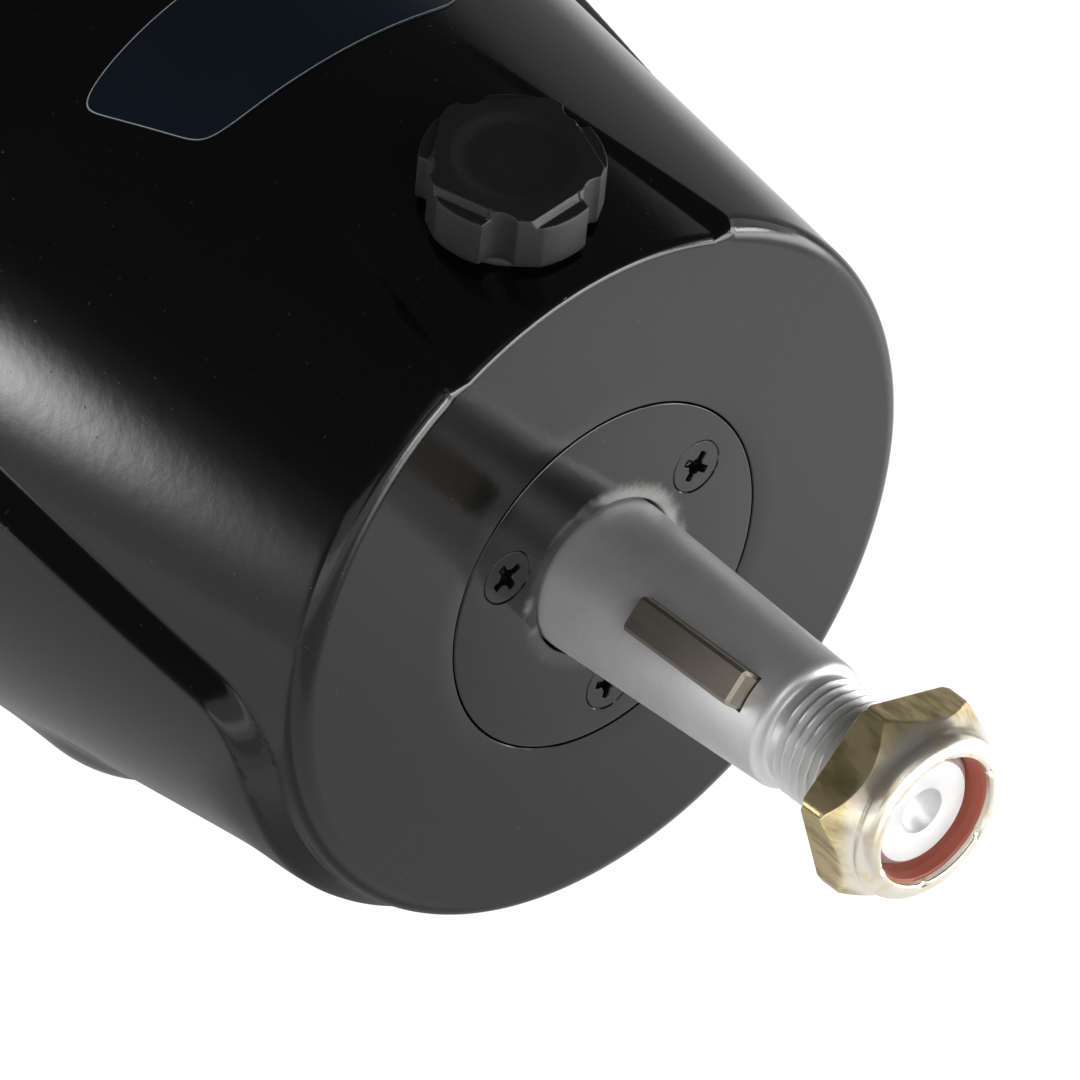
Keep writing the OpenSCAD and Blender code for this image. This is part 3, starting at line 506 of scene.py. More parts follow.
@dataclass(frozen=True)
class Moulded(Finish):
    """Moulded plastic, nylon or rubber: fine grain, drag marks on its sides and faint dust."""

    grain_depth: float
    grain_scale: float
    drag: float = 0.0
    pale: Colour = (0.10, 0.10, 0.10)
    UPRIGHT: ClassVar[Point] = (0.35, 0.35, 3.0)
    CLOUD: ClassVar[Grain] = Grain(0.20, 3.0, 0.6, tint=0.25, rough=0.06)
    MARKS: ClassVar[Grain] = Grain(0.9, 3.0, 0.6, rough=0.06)
    DUST: ClassVar[Grain] = Grain(1.3, 1.0, mask=(0.70, 0.78), tint=0.4)

    def make(self, recipe: Recipe) -> bpy.types.Material:
        """Wires the moulded skin.

        Args:
            recipe: Empty tree to fill.

        Returns:
            The finished material.
        """
        place = recipe.place()
        grain = recipe.noise(place, Grain(self.grain_scale, 3.0, 0.6, rough=0.10))
        cloud = recipe.noise(place, self.CLOUD)
        marks = recipe.noise(recipe.place(self.UPRIGHT), self.MARKS)
        dust = recipe.noise(place, self.DUST)
        colour = recipe.mix(cloud.tint + dust.tint, self.base, self.pale)
        return recipe.shade(
            Base_Color=colour,
            Roughness=self.roughness + grain.rough + marks.rough - cloud.rough,
            Normal=recipe.bump(grain + marks * self.drag, self.grain_depth))


@dataclass(frozen=True)
class PrintedFilm(Finish):
    """Printed film with a thin pale line along its edge.

    Formula: the first texture coordinate is the distance from the edge in millimetres.
    """

    line: Colour = (0.62, 0.66, 0.70)
    line_from: float = 0.12
    line_to: float = 0.20
    line_soft: float = 0.05
    lighter: float = 1.35
    skin_depth: float = 0.004
    CLOUD: ClassVar[Grain] = Grain(0.12, rough=0.05)
    FINE: ClassVar[Grain] = Grain(2.0, rough=0.03)

    def make(self, recipe: Recipe) -> bpy.types.Material:
        """Wires the film.

        Args:
            recipe: Empty tree to fill.

        Returns:
            The finished material.
        """
        inset, _, _ = recipe.parts(recipe.add("ShaderNodeUVMap"))
        line = inset.step(self.line_from - self.line_soft, self.line_from) * (
            1.0 - inset.step(self.line_to, self.line_to + self.line_soft))
        place = recipe.place()
        cloud = recipe.noise(place, self.CLOUD)
        fine = recipe.noise(place, self.FINE)
        ground = recipe.mix(cloud, self.base, dimmed(self.base, self.lighter))
        return recipe.shade(
            Base_Color=recipe.mix(line, ground, self.line),
            Roughness=self.roughness + cloud.rough + fine.rough,
            Normal=recipe.bump(fine, self.skin_depth))


@dataclass(frozen=True)
class Machined(Finish):
    """Machined or ground metal: drawn-out tool marks and patches of tone."""

    mark_scale: float = 3.0
    mark_depth: float = 0.006
    darker: float = 0.72
    DRAWN: ClassVar[Point] = (1.0, 0.08, 0.15)
    CLOUD: ClassVar[Grain] = Grain(0.10, 3.0, 0.6, tint=0.6, rough=0.08)

    def make(self, recipe: Recipe) -> bpy.types.Material:
        """Wires the machined metal.

        Args:
            recipe: Empty tree to fill.

        Returns:
            The finished material.
        """
        place = recipe.place()
        tool = Grain(self.mark_scale, 3.0, 0.6, tint=0.4, rough=0.10)
        marks = recipe.noise(recipe.place(self.DRAWN), tool)
        cloud = recipe.noise(place, self.CLOUD)
        dark = dimmed(self.base, self.darker)
        colour = recipe.mix(marks.tint + cloud.tint, dark, self.base)
        return recipe.shade(
            Base_Color=colour, Metallic=1.0,
            Roughness=self.roughness + marks.rough + cloud.rough,
            Normal=recipe.bump(marks, self.mark_depth))


FINISHES: dict[Slot, Finish] = {
    Slot.PAINT: GlossPaint("gloss_black_paint", (0.0028, 0.0027, 0.0025), 0.10),
    Slot.COVER: GlossPaint("rubbed_black_paint", (0.0032, 0.0031, 0.0029), 0.06,
                           peel_depth=0.016, rub_inner=11.2, rub_outer=13.4),
    Slot.SCREW: GlossPaint("painted_screw", (0.004, 0.004, 0.004), 0.16,
                           peel_scale=1.1, peel_depth=0.03),
    Slot.CAP: Moulded("matte_cap_plastic", (0.010, 0.010, 0.010), 0.46, 0.03, 2.4,
                      drag=1.4, pale=(0.05, 0.05, 0.05)),
    Slot.SHAFT: TurnedSteel("turned_shaft_metal", (0.87, 0.875, 0.88), 0.33),
    Slot.KEY: Machined("rolled_key_steel", (0.56, 0.50, 0.42), 0.36, 1.4, 0.02),
    Slot.NUT: YellowPlate("yellow_zinc_plate", (0.94, 0.77, 0.43), 0.16),
    Slot.NYLON: Moulded("red_brown_nylon", (0.36, 0.075, 0.042), 0.36, 0.01, 1.5,
                        drag=0.3, pale=(0.52, 0.17, 0.11)),
    Slot.RUBBER: Moulded("black_rubber_seal", (0.016, 0.016, 0.016), 0.62, 0.02, 1.6),
    Slot.LABEL: PrintedFilm("navy_printed_film", (0.0045, 0.0128, 0.0225), 0.24),
    Slot.BEARING: Machined("ground_bearing_steel", (0.62, 0.63, 0.65), 0.14, 4.0, 0.003),
    Slot.BRONZE: Machined("machined_bronze", (0.52, 0.32, 0.13), 0.28),
    Slot.BLOCK: Machined("machined_block", (0.52, 0.53, 0.55), 0.34, 1.2, 0.010),
    Slot.PUMP: Machined("ground_pump_steel", (0.44, 0.45, 0.47), 0.24, 2.4),
    Slot.ZINC: Machined("bright_zinc_steel", (0.62, 0.63, 0.66), 0.26, 2.0),
    Slot.BRASS: Machined("turned_brass", (0.70, 0.49, 0.19), 0.24, 2.0),
}


# Surfaces


def ease(low: float, high: float, value: np.ndarray) -> np.ndarray:
    """Smooth rise 3t^2 - 2t^3 from 0 at low to 1 at high."""
    t = np.clip((value - low) / (high - low), 0.0, 1.0)
    return t * t * (3.0 - 2.0 * t)


def ramp(share: np.ndarray, soft: float = 0.14) -> np.ndarray:
    """Straight rise from 0 to 1 with its two ends rounded off.

    Args:
        share: Where on the rise, 0 to 1.
        soft: Share of the rise that each rounding takes.

    Returns:
        Height, 0 to 1: a straight line between two parabolas that touch it.
    """
    t = np.clip(share, 0.0, 1.0)
    low = t * t / (2.0 * soft)
    high = 1.0 - soft - (1.0 - t) ** 2 / (2.0 * soft)
    straight = np.where(t < soft, low, np.where(t > 1.0 - soft, high, t - soft / 2.0))
    return straight / (1.0 - soft)


def rounded(points: Sequence[Point], steps: int) -> np.ndarray:
    """Outline whose corners are arcs.

    Each arc leaves its corner's two sides r * tan(turn / 2) away from the corner and is drawn as
    the curve (1-t)^2 a + 2t(1-t) corner + t^2 b, which follows the arc closely.

    Args:
        points: Radius, position along the axis and corner rounding, in order.
        steps: Points on each arc.

    Returns:
        Array of radius and position.
    """
    table = np.asarray(points, float)
    line, size = table[:, :2], table[:, 2]
    out = [line[:1]]
    for before, corner, after, radius in zip(line[:-2], line[1:-1], line[2:], size[1:-1]):
        into, away = before - corner, after - corner
        into, away = into / np.linalg.norm(into), away / np.linalg.norm(away)
        turn = math.pi - math.acos(float(np.clip(into @ away, -1.0, 1.0)))
        reach = radius * math.tan(turn / 2.0)
        t = np.linspace(0.0, 1.0, steps)[:, None] if reach > 0.0 else np.zeros((1, 1))
        first, last = corner + into * reach, corner + away * reach
        out.append((1 - t) ** 2 * first + 2 * t * (1 - t) * corner + t * t * last)
    return np.concatenate(out + [line[-1:]])


@dataclass
class Patch:
    """Points in millimetres and four-cornered faces of closed surfaces."""

    points: np.ndarray
    faces: np.ndarray

    @staticmethod
    def grid(points: np.ndarray, loop_rows: bool = False) -> "Patch":
        """Surface over a grid whose columns close on themselves.

        Args:
            points: Array of rows, columns and three coordinates.
            loop_rows: Whether the last row joins the first.

        Returns:
            The patch.
        """
        rows, cols, _ = points.shape
        index = np.arange(rows * cols).reshape(rows, cols)
        if loop_rows:
            index = np.concatenate([index, index[:1]])
        side = np.roll(index, -1, axis=1)
        faces = np.stack([index[:-1], side[:-1], side[1:], index[1:]], axis=-1)
        return Patch(points.reshape(-1, 3), faces.reshape(-1, 4))

    @staticmethod
    def join(patches: Sequence["Patch"]) -> "Patch":
        """One patch from several.

        Args:
            patches: Patches to put together; they may lie apart.

        Returns:
            The joint patch.
        """
        counts = np.cumsum([0] + [len(patch.points) for patch in patches])
        faces = [patch.faces + start for patch, start in zip(patches, counts)]
        return Patch(np.concatenate([patch.points for patch in patches]), np.concatenate(faces))

    def moved(self, matrix: np.ndarray, shift: Sequence[float]) -> "Patch":
        """The patch turned by a 3 by 3 matrix and then shifted."""
        points = self.points @ np.asarray(matrix).T + np.asarray(shift, float)
        return Patch(points, self.faces)


def turn_about_y(angle: float) -> np.ndarray:
    """Matrix that turns +X towards +Z by an angle in degrees."""
    c, s = math.cos(math.radians(angle)), math.sin(math.radians(angle))
    return np.array([[c, 0.0, -s], [0.0, 1.0, 0.0], [s, 0.0, c]])


def wheel(count: int) -> np.ndarray:
    """Evenly spaced angles of one turn."""
    return np.arange(count) * TURN / count


def about_axis(radius: np.ndarray, along: np.ndarray, angle: np.ndarray) -> np.ndarray:
    """Points (r sin a, y, r cos a) for arrays of radius, position and angle from the top."""
    radius, along, angle = np.broadcast_arrays(radius, along, angle)
    return np.stack([radius * np.sin(angle), along, radius * np.cos(angle)], axis=-1)


def band(profile: np.ndarray) -> Band:
    """Radius and y of a profile, each as one column."""
    return profile[:, :1], profile[:, 1:]


def swept(bands: Sequence[Band], angle: np.ndarray) -> np.ndarray:
    """Rows of points round the shaft axis, from bands of radius and y one after the other."""
    return np.concatenate([about_axis(radius, along, angle) for radius, along in bands])


def turned(profile: np.ndarray, count: int, loop: bool = False) -> Patch:
    """Surface of a profile carried once round the shaft axis.

    Args:
        profile: Radius and y of each point.
        count: Steps of the turn.
        loop: Whether the profile closes on itself; otherwise it starts and ends on the axis.

    Returns:
        The patch.
    """
    return Patch.grid(swept([band(profile)], wheel(count)[None, :]), loop)


def thread_radius(along: np.ndarray, angle: np.ndarray, radius: float, pitch: float,
                  depth: float = 0.61, crest: float = 0.10, flank: float = 0.72) -> np.ndarray:
    """Radius of a right-hand thread that points along -Y.

    With p = y / pitch - angle / turn, the flank is a triangle wave of p, cut flat at crest and
    root.

    Args:
        along: Position along Y.
        angle: Angle from the top towards +X.
        radius: Outside radius.
        pitch: Distance between crests.
        depth: Depth of the thread in pitches.
        crest: Share of the wave that is flat at the crest.
        flank: Share of the wave that the flank takes.

    Returns:
        Radius at each point.
    """
    wave = np.abs(2.0 * ((along / pitch - angle / TURN) % 1.0) - 1.0)
    return radius - depth * pitch * np.clip((wave - crest) / flank, 0.0, 1.0)


# Pieces


def mesh_object(name: str, patch: Patch, merge: float = 1e-6) -> bpy.types.Object:
    """Mesh object at the origin, with doubles merged and faces pointing outwards.

    Args:
        name: Name of the object.
        patch: Its surface in millimetres.
        merge: Distance below which points are one, in metres.

    Returns:
        The object, linked to the scene.
    """
    mesh = bpy.data.meshes.new(name)
    mesh.from_pydata((patch.points * MM).tolist(), [], patch.faces.tolist())
    work = bmesh.new()
    work.from_mesh(mesh)
    bmesh.ops.remove_doubles(work, verts=work.verts, dist=merge)
    if work.calc_volume(signed=True) < 0.0:
        bmesh.ops.reverse_faces(work, faces=work.faces)
    work.to_mesh(mesh)
    work.free()
    piece = bpy.data.objects.new(name, mesh)
    bpy.context.scene.collection.objects.link(piece)
    return piece


def carve(piece: bpy.types.Object, cutters: Sequence[Patch]) -> None:
    """Cuts solids out of a piece and keeps only the result.

    Args:
        piece: Object to cut.
        cutters: Closed surfaces in millimetres.
    """
    tool = mesh_object("carving_tool", Patch.join(cutters))
    modifier = piece.modifiers.new("cut", "BOOLEAN")
    modifier.object, modifier.operation, modifier.solver = tool, "DIFFERENCE", "EXACT"
    graph = bpy.context.evaluated_depsgraph_get()
    result = bpy.data.meshes.new_from_object(piece.evaluated_get(graph))
    piece.modifiers.clear()
    old, piece.data = piece.data, result
    bpy.data.meshes.remove(old)
    bpy.data.objects.remove(tool)


def finish_piece(piece: bpy.types.Object, slot: Slot, body: Body, nodes: Sequence[str] = (),
                 crease: float = 32.0) -> None:
    """Shades a piece, dresses it and hangs it on its body.

    Args:
        piece: Finished mesh object.
        slot: Material slot that gives the finish.
        body: Body that it rides on.
        nodes: CAD nodes that it stands for.
        crease: Edges sharper than this many degrees stay crisp.
    """
    mesh = piece.data
    mesh.materials.clear()
    mesh.materials.append(FINISHES[slot].material())
    mesh.shade_smooth()
    mesh.set_sharp_from_angle(angle=math.radians(crease))
    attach(piece, body.value)
    if nodes:
        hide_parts(*nodes)
    log.info("%s: %d faces on %s", piece.name, len(mesh.polygons), body.value)


# Sub-assemblies, in millimetres


@dataclass
class FrontBody:
    """Cast front body: face, rolled rim, cone, filler platform, side pads, flare and flange.

    dense_zones lists where the columns stand closer: angle from the top in degrees, half width in
    radians, and added weight. pad_lip_zone gives the angles in radians between which the lip on a
    pad rises and falls again.
    """

    face_y: float = -104.0
    cone_r: float = 47.7
    cone_angle: float = 7.0
    rim_r: float = 2.8
    rim_turn: float = 83.0
    platform_half_w: float = 23.2
    platform_narrowing: float = 0.235
    platform_r: float = 46.1
    platform_angle: float = 9.2
    platform_rim_r: float = 1.3
    step_slope: float = 0.5
    least_step: float = 0.02
    pad_from: float = 3.8
    pad_from_right: float = 9.0
    pad_top: float = 3.6
    pad_slope: float = 15.0
    pad_rise: float = 3.2
    pad_direction: float = 65.0
    pad_upper_bevel: float = 3.9
    pad_front_bevel: float = 3.6
    pad_corner: float = 2.6
    pad_soft: float = 0.16
    pad_lip: float = 0.7
    pad_lip_l: float = 7.0
    pad_lip_zone: tuple[float, float, float, float] = (1.75, 2.15, 2.5, 2.9)
    pad_fade: tuple[float, float] = (-6.0, 4.0)
    boss_r: float = 20.0
    boss_out_r: float = 57.5
    boss_blend: float = 0.8
    boss_fade: float = 7.0
    upper_boss: float = 36.0
    upper_boss_from: float = 51.5
    lower_boss: float = 135.0
    lower_boss_from: float = 35.0
    flare_r: float = 8.0
    flare_start: float = 0.5
    flange_r: float = 72.5
    flange_t: float = 9.0
    flange_edge_r: float = 3.0
    flange_rear_r: float = 0.4
    gasket_t: float = 1.5
    spigot_r: float = 56.0
    spigot_end: float = 16.0
    chamber_r: float = 43.0
    chamber_y: float = -59.0
    chamber_edge: float = 1.0
    bearing_r: float = 21.05
    bearing_from: float = 13.5
    bearing_edge: float = 0.3
    seal_r: float = 14.35
    seal_end: float = 12.2
    shaft_hole_r: float = 10.7
    cover_r: float = 23.75
    cover_t: float = 5.0
    cover_edge: float = 0.30
    filler_from: float = 15.0
    stem_hole_r: float = 7.95
    stem_hole_l: float = 10.9
    seat_r: float = 9.7
    seat_t: float = 0.9
    cut_over: float = 6.0
    seam: float = 0.02
    columns: int = 540
    fine_columns: int = 7201
    step_inset: float = 3.0
    step_zone: float = 0.12
    step_weight: float = 3.5
    dense_zones: tuple[Point, ...] = ((76.5, 0.28, 1.8), (102.0, 0.5, 0.6))
    face_rows: int = 8
    rim_rows: int = 14
    front_share: float = 0.32
    front_rows: int = 48
    rear_rows: int = 58
    flare_rows: int = 18
    corner_rows: int = 4
    neck_columns: int = 96
    flange_seam: float = 0.4
    crease: float = 24.0

    @property
    def lean(self) -> float:
        """Angle of the cone in radians."""
        return math.radians(self.cone_angle)

    @property
    def flare_from(self) -> float:
        """Distance behind the face where the flare starts."""
        return -self.face_y - self.gasket_t - self.flange_t - self.flare_r

    @property
    def flare_centre(self) -> float:
        """Radius of the middle of the flare's arc."""
        return self.cone(np.array(self.flare_from)) + self.flare_r / math.cos(self.lean)

    def filler_frame(self) -> tuple[np.ndarray, np.ndarray]:
        """Frame of the filler, whose Z stands on the platform.

        Returns:
            Its 3 by 3 matrix and its origin.
        """
        a = math.radians(self.platform_angle)
        c, s = math.cos(a), math.sin(a)
        height = self.platform_r + self.filler_from * math.tan(a)
        return (np.array([[1.0, 0.0, 0.0], [0.0, c, -s], [0.0, s, c]]),
                np.array([0.0, self.face_y + self.filler_from, height]))

    def angles(self) -> np.ndarray:
        """Angles from the top, closer together at the platform's steps and on the pads.

        A weight is given to each of many fine angles, and the columns share its running sum evenly.

        Returns:
            One angle for each column, in rising order.
        """
        fine = np.linspace(-math.pi, math.pi, self.fine_columns)
        step = math.asin((self.platform_half_w - self.step_inset) / self.cone_r)
        off = (np.abs(fine) - step) / self.step_zone
        weight = 1.0 + self.step_weight * np.exp(-off ** 2)
        for middle, half, more in self.dense_zones:
            weight = weight + more * (np.abs(np.abs(fine) - math.radians(middle)) < half)
        total = np.concatenate([[0.0], np.cumsum(weight[:-1])])
        even = np.arange(self.columns) / self.columns
        return np.interp(even, total / (total[-1] + weight[-1]), fine)

    def cone(self, behind: np.ndarray) -> np.ndarray:
        """Radius of the plain cone at a distance behind the face."""
        return self.cone_r + behind * math.tan(self.lean)

    def platform_inset(self, angle: np.ndarray, behind: np.ndarray) -> np.ndarray:
        """Depth of the platform below the cone.

        The platform is a slightly steeper cone, so its depth falls to nothing towards the back. Its
        side walls have one slope, so they are as wide as the depth asks, and their tops draw in
        towards the back.

        Args:
            angle: Angle from the top.
            behind: Distance behind the face.

        Returns:
            Depth below the cone.
        """
        steeper = math.tan(math.radians(self.platform_angle)) - math.tan(self.lean)
        deep = np.maximum(self.cone_r - self.platform_r - behind * steeper, 0.0)
        across = np.abs(self.cone(behind) * np.sin(angle))
        top = self.platform_half_w - self.platform_narrowing * behind
        share = ramp((top - across) * self.step_slope / np.maximum(deep, self.least_step))
        return deep * share * (np.cos(angle) > 0.0)

    def pad_height(self, angle: np.ndarray, behind: np.ndarray) -> np.ndarray:
        """Height of the raised side pads above the cone.

        A pad's outside is the cone shifted outward, so its height is rise * cos(angle - direction).
        It is reached over straight bevels along its rising upper edge and its front edge, which
        meet in a round corner, and it fades into the flare. Low on the front edge a soft lip is
        added.

        Args:
            angle: Angle from the top; the right pad starts further back than the left one.
            behind: Distance behind the face.

        Returns:
            Height above the cone.
        """
        side = np.abs(angle)
        height = self.cone(behind) * (math.pi / 2.0 - side)
        slope = math.radians(self.pad_slope)
        edge = (behind - self.pad_from) * math.tan(slope) + self.pad_top
        upper = (edge - height) * math.cos(slope) / self.pad_upper_bevel
        start = np.where(angle < 0.0, self.pad_from, self.pad_from_right)
        front = (behind - start) / self.pad_front_bevel
        c = self.pad_corner
        inside = c - np.hypot(np.maximum(c - upper, 0.0), np.maximum(c - front, 0.0))
        outside = self.pad_rise * np.cos(side - math.radians(self.pad_direction))
        lip_s = behind - self.pad_from - self.pad_front_bevel
        lip = self.pad_lip * np.exp(-(lip_s / self.pad_lip_l) ** 2)
        zone = self.pad_lip_zone
        outside = outside + lip * ease(*zone[:2], side) * (1.0 - ease(*zone[2:], side))
        fade_from, fade_to = (self.flare_from + off for off in self.pad_fade)
        back = 1.0 - ease(fade_from, fade_to, behind)
        return np.maximum(outside, 0.0) * ramp(inside, self.pad_soft) * back

    def with_bosses(self, angle: np.ndarray, behind: np.ndarray, flank: np.ndarray) -> np.ndarray:
        """Flank with the round-nosed stud bosses blended in.

        A boss is a bar of radius b along the shaft, its middle c from the shaft axis. Seen at an
        angle f from its middle, its outside lies at c cos f + sqrt(b^2 - (c sin f)^2).

        Args:
            angle: Angle from the top.
            behind: Distance behind the face.
            flank: Radius of the flank without bosses.

        Returns:
            Radius of the flank with them.
        """
        middle, blend = self.boss_out_r - self.boss_r, self.boss_blend
        fade = 1.0 - ease(self.flare_from - self.boss_fade, self.flare_from, behind)
        result = flank
        for place, start in ((self.upper_boss, self.upper_boss_from),
                             (self.lower_boss, self.lower_boss_from)):
            off = np.abs(angle) - math.radians(place)
            nose = np.maximum(start + self.boss_r - behind, 0.0)
            inner = self.boss_r ** 2 - nose ** 2 - (middle * np.sin(off)) ** 2
            bump = middle * np.cos(off) + np.sqrt(np.maximum(inner, 0.0)) - result
            bump = np.where((inner > 0.0) & (np.cos(off) > 0.0), bump, -np.inf)
            soft = np.maximum(blend - np.abs(bump), 0.0) ** 2 / (4.0 * blend)
            result = result + (np.maximum(bump, 0.0) + soft) * fade
        return result

    def skin(self, angle: np.ndarray, behind: np.ndarray) -> np.ndarray:
        """Radius of the flank: cone less the platform, plus pads and bosses."""
        lowered = self.cone(behind) - self.platform_inset(angle, behind)
        return self.with_bosses(angle, behind, lowered + self.pad_height(angle, behind))

    def rolled_rim(self, angle: np.ndarray) -> tuple[np.ndarray, np.ndarray]:
        """Roll between the face and the flank, smaller along the platform.

        Args:
            angle: Angle of each column.

        Returns:
            Radius and distance behind the face, row by row.
        """
        deepest = self.cone_r - self.platform_r
        share = self.platform_inset(angle, np.zeros_like(angle)) / deepest
        rim = self.rim_r + (self.platform_rim_r - self.rim_r) * share
        edge = math.radians(self.rim_turn + self.cone_angle)
        centre = self.skin(angle, rim * math.sin(edge)) - rim / math.cos(self.lean)
        roll = np.linspace(edge, self.lean, self.rim_rows)[:, None]
        return centre + rim * np.cos(roll), rim * (math.sin(edge) - np.sin(roll))

    def flare(self, angle: np.ndarray) -> tuple[np.ndarray, np.ndarray]:
        """Hollow arc from the flank out to the flange.

        Args:
            angle: Angle of each column.

        Returns:
            Radius and distance behind the face, row by row.
        """
        start = math.pi - self.lean
        bend = np.linspace(start, math.pi / 2.0, self.flare_rows)[1:, None]
        eased = 1.0 - ease(0.0, self.flare_start, start - bend)
        behind = self.flare_from + self.flare_r * np.sin(bend)
        behind = behind - self.flare_r * math.sin(self.lean) * eased
        radius = self.flare_centre + self.flare_r * np.cos(bend)
        return radius + self.pad_height(angle, behind), behind

    def flange_and_bores(self) -> np.ndarray:
        """Profile from the flange's front round its back and through the bores to the face.

        Returns:
            Array of radius and y.
        """
        rear_y, r = -self.gasket_t, self.flange_r
        front_y = rear_y - self.flange_t
        bearing_y = self.face_y + self.bearing_from
        seal_y, cover_y = self.face_y + self.seal_end, self.face_y + self.cover_t
        return rounded([
            (self.flare_centre + self.flange_seam, front_y, 0.0),
            (r, front_y, self.flange_edge_r), (r, rear_y, self.flange_rear_r),
            (self.spigot_r, rear_y, 0.0),
            (self.spigot_r, self.spigot_end, 0.0), (self.chamber_r, self.spigot_end, 0.0),
            (self.chamber_r, self.chamber_y, self.chamber_edge),
            (self.bearing_r, self.chamber_y, self.bearing_edge),
            (self.bearing_r, bearing_y, 0.0), (self.shaft_hole_r, bearing_y, 0.0),
            (self.shaft_hole_r, seal_y, 0.0), (self.seal_r, seal_y, 0.0),
            (self.seal_r, cover_y, 0.0), (self.cover_r, cover_y, 0.0),
            (self.cover_r, self.face_y, self.cover_edge),
            (self.cover_r + self.cover_edge, self.face_y, 0.0)], self.corner_rows)

    def surface(self) -> Patch:
        """Rows from the cover's recess over the outside to the flange, and back through the bores.

        Returns:
            The closed surface.
        """
        angle = self.angles()[None, :]
        rim_r, rim_s = self.rolled_rim(angle)
        first = self.cover_r + self.cover_edge
        spread = np.linspace(0.0, 1.0, self.face_rows)[:, None]
        face_r = first + (rim_r[:1] - self.seam - first) * spread
        dense = np.linspace(0.0, self.front_share, self.front_rows)[1:]
        sparse = np.linspace(self.front_share, 1.0, self.rear_rows)[1:]
        pace = np.concatenate([dense, sparse])[:, None]
        flank_s = rim_s[-1:] + (self.flare_from - rim_s[-1:]) * pace
        flare_r, flare_s = self.flare(angle)
        bands = [(face_r, self.face_y), (rim_r, self.face_y + rim_s),
                 (self.skin(angle, flank_s), self.face_y + flank_s),
                 (flare_r, self.face_y + flare_s), band(self.flange_and_bores())]
        return Patch.grid(swept(bands, angle), True)

    def build(self) -> None:
        """Makes the body and cuts the filler's seat and neck."""
        piece = mesh_object("front_body", self.surface())
        neck = np.array([[0.0, -self.stem_hole_l], [self.stem_hole_r, -self.stem_hole_l],
                         [self.stem_hole_r, -self.seat_t], [self.seat_r, -self.seat_t],
                         [self.seat_r, self.cut_over], [0.0, self.cut_over]])
        stand = np.array([[1.0, 0.0, 0.0], [0.0, 0.0, -1.0], [0.0, 1.0, 0.0]])
        turn, origin = self.filler_frame()
        carve(piece, [turned(neck, self.neck_columns).moved(turn @ stand, origin)])
        finish_piece(piece, Slot.PAINT, Body.HELM, ["front_housing"], self.crease)


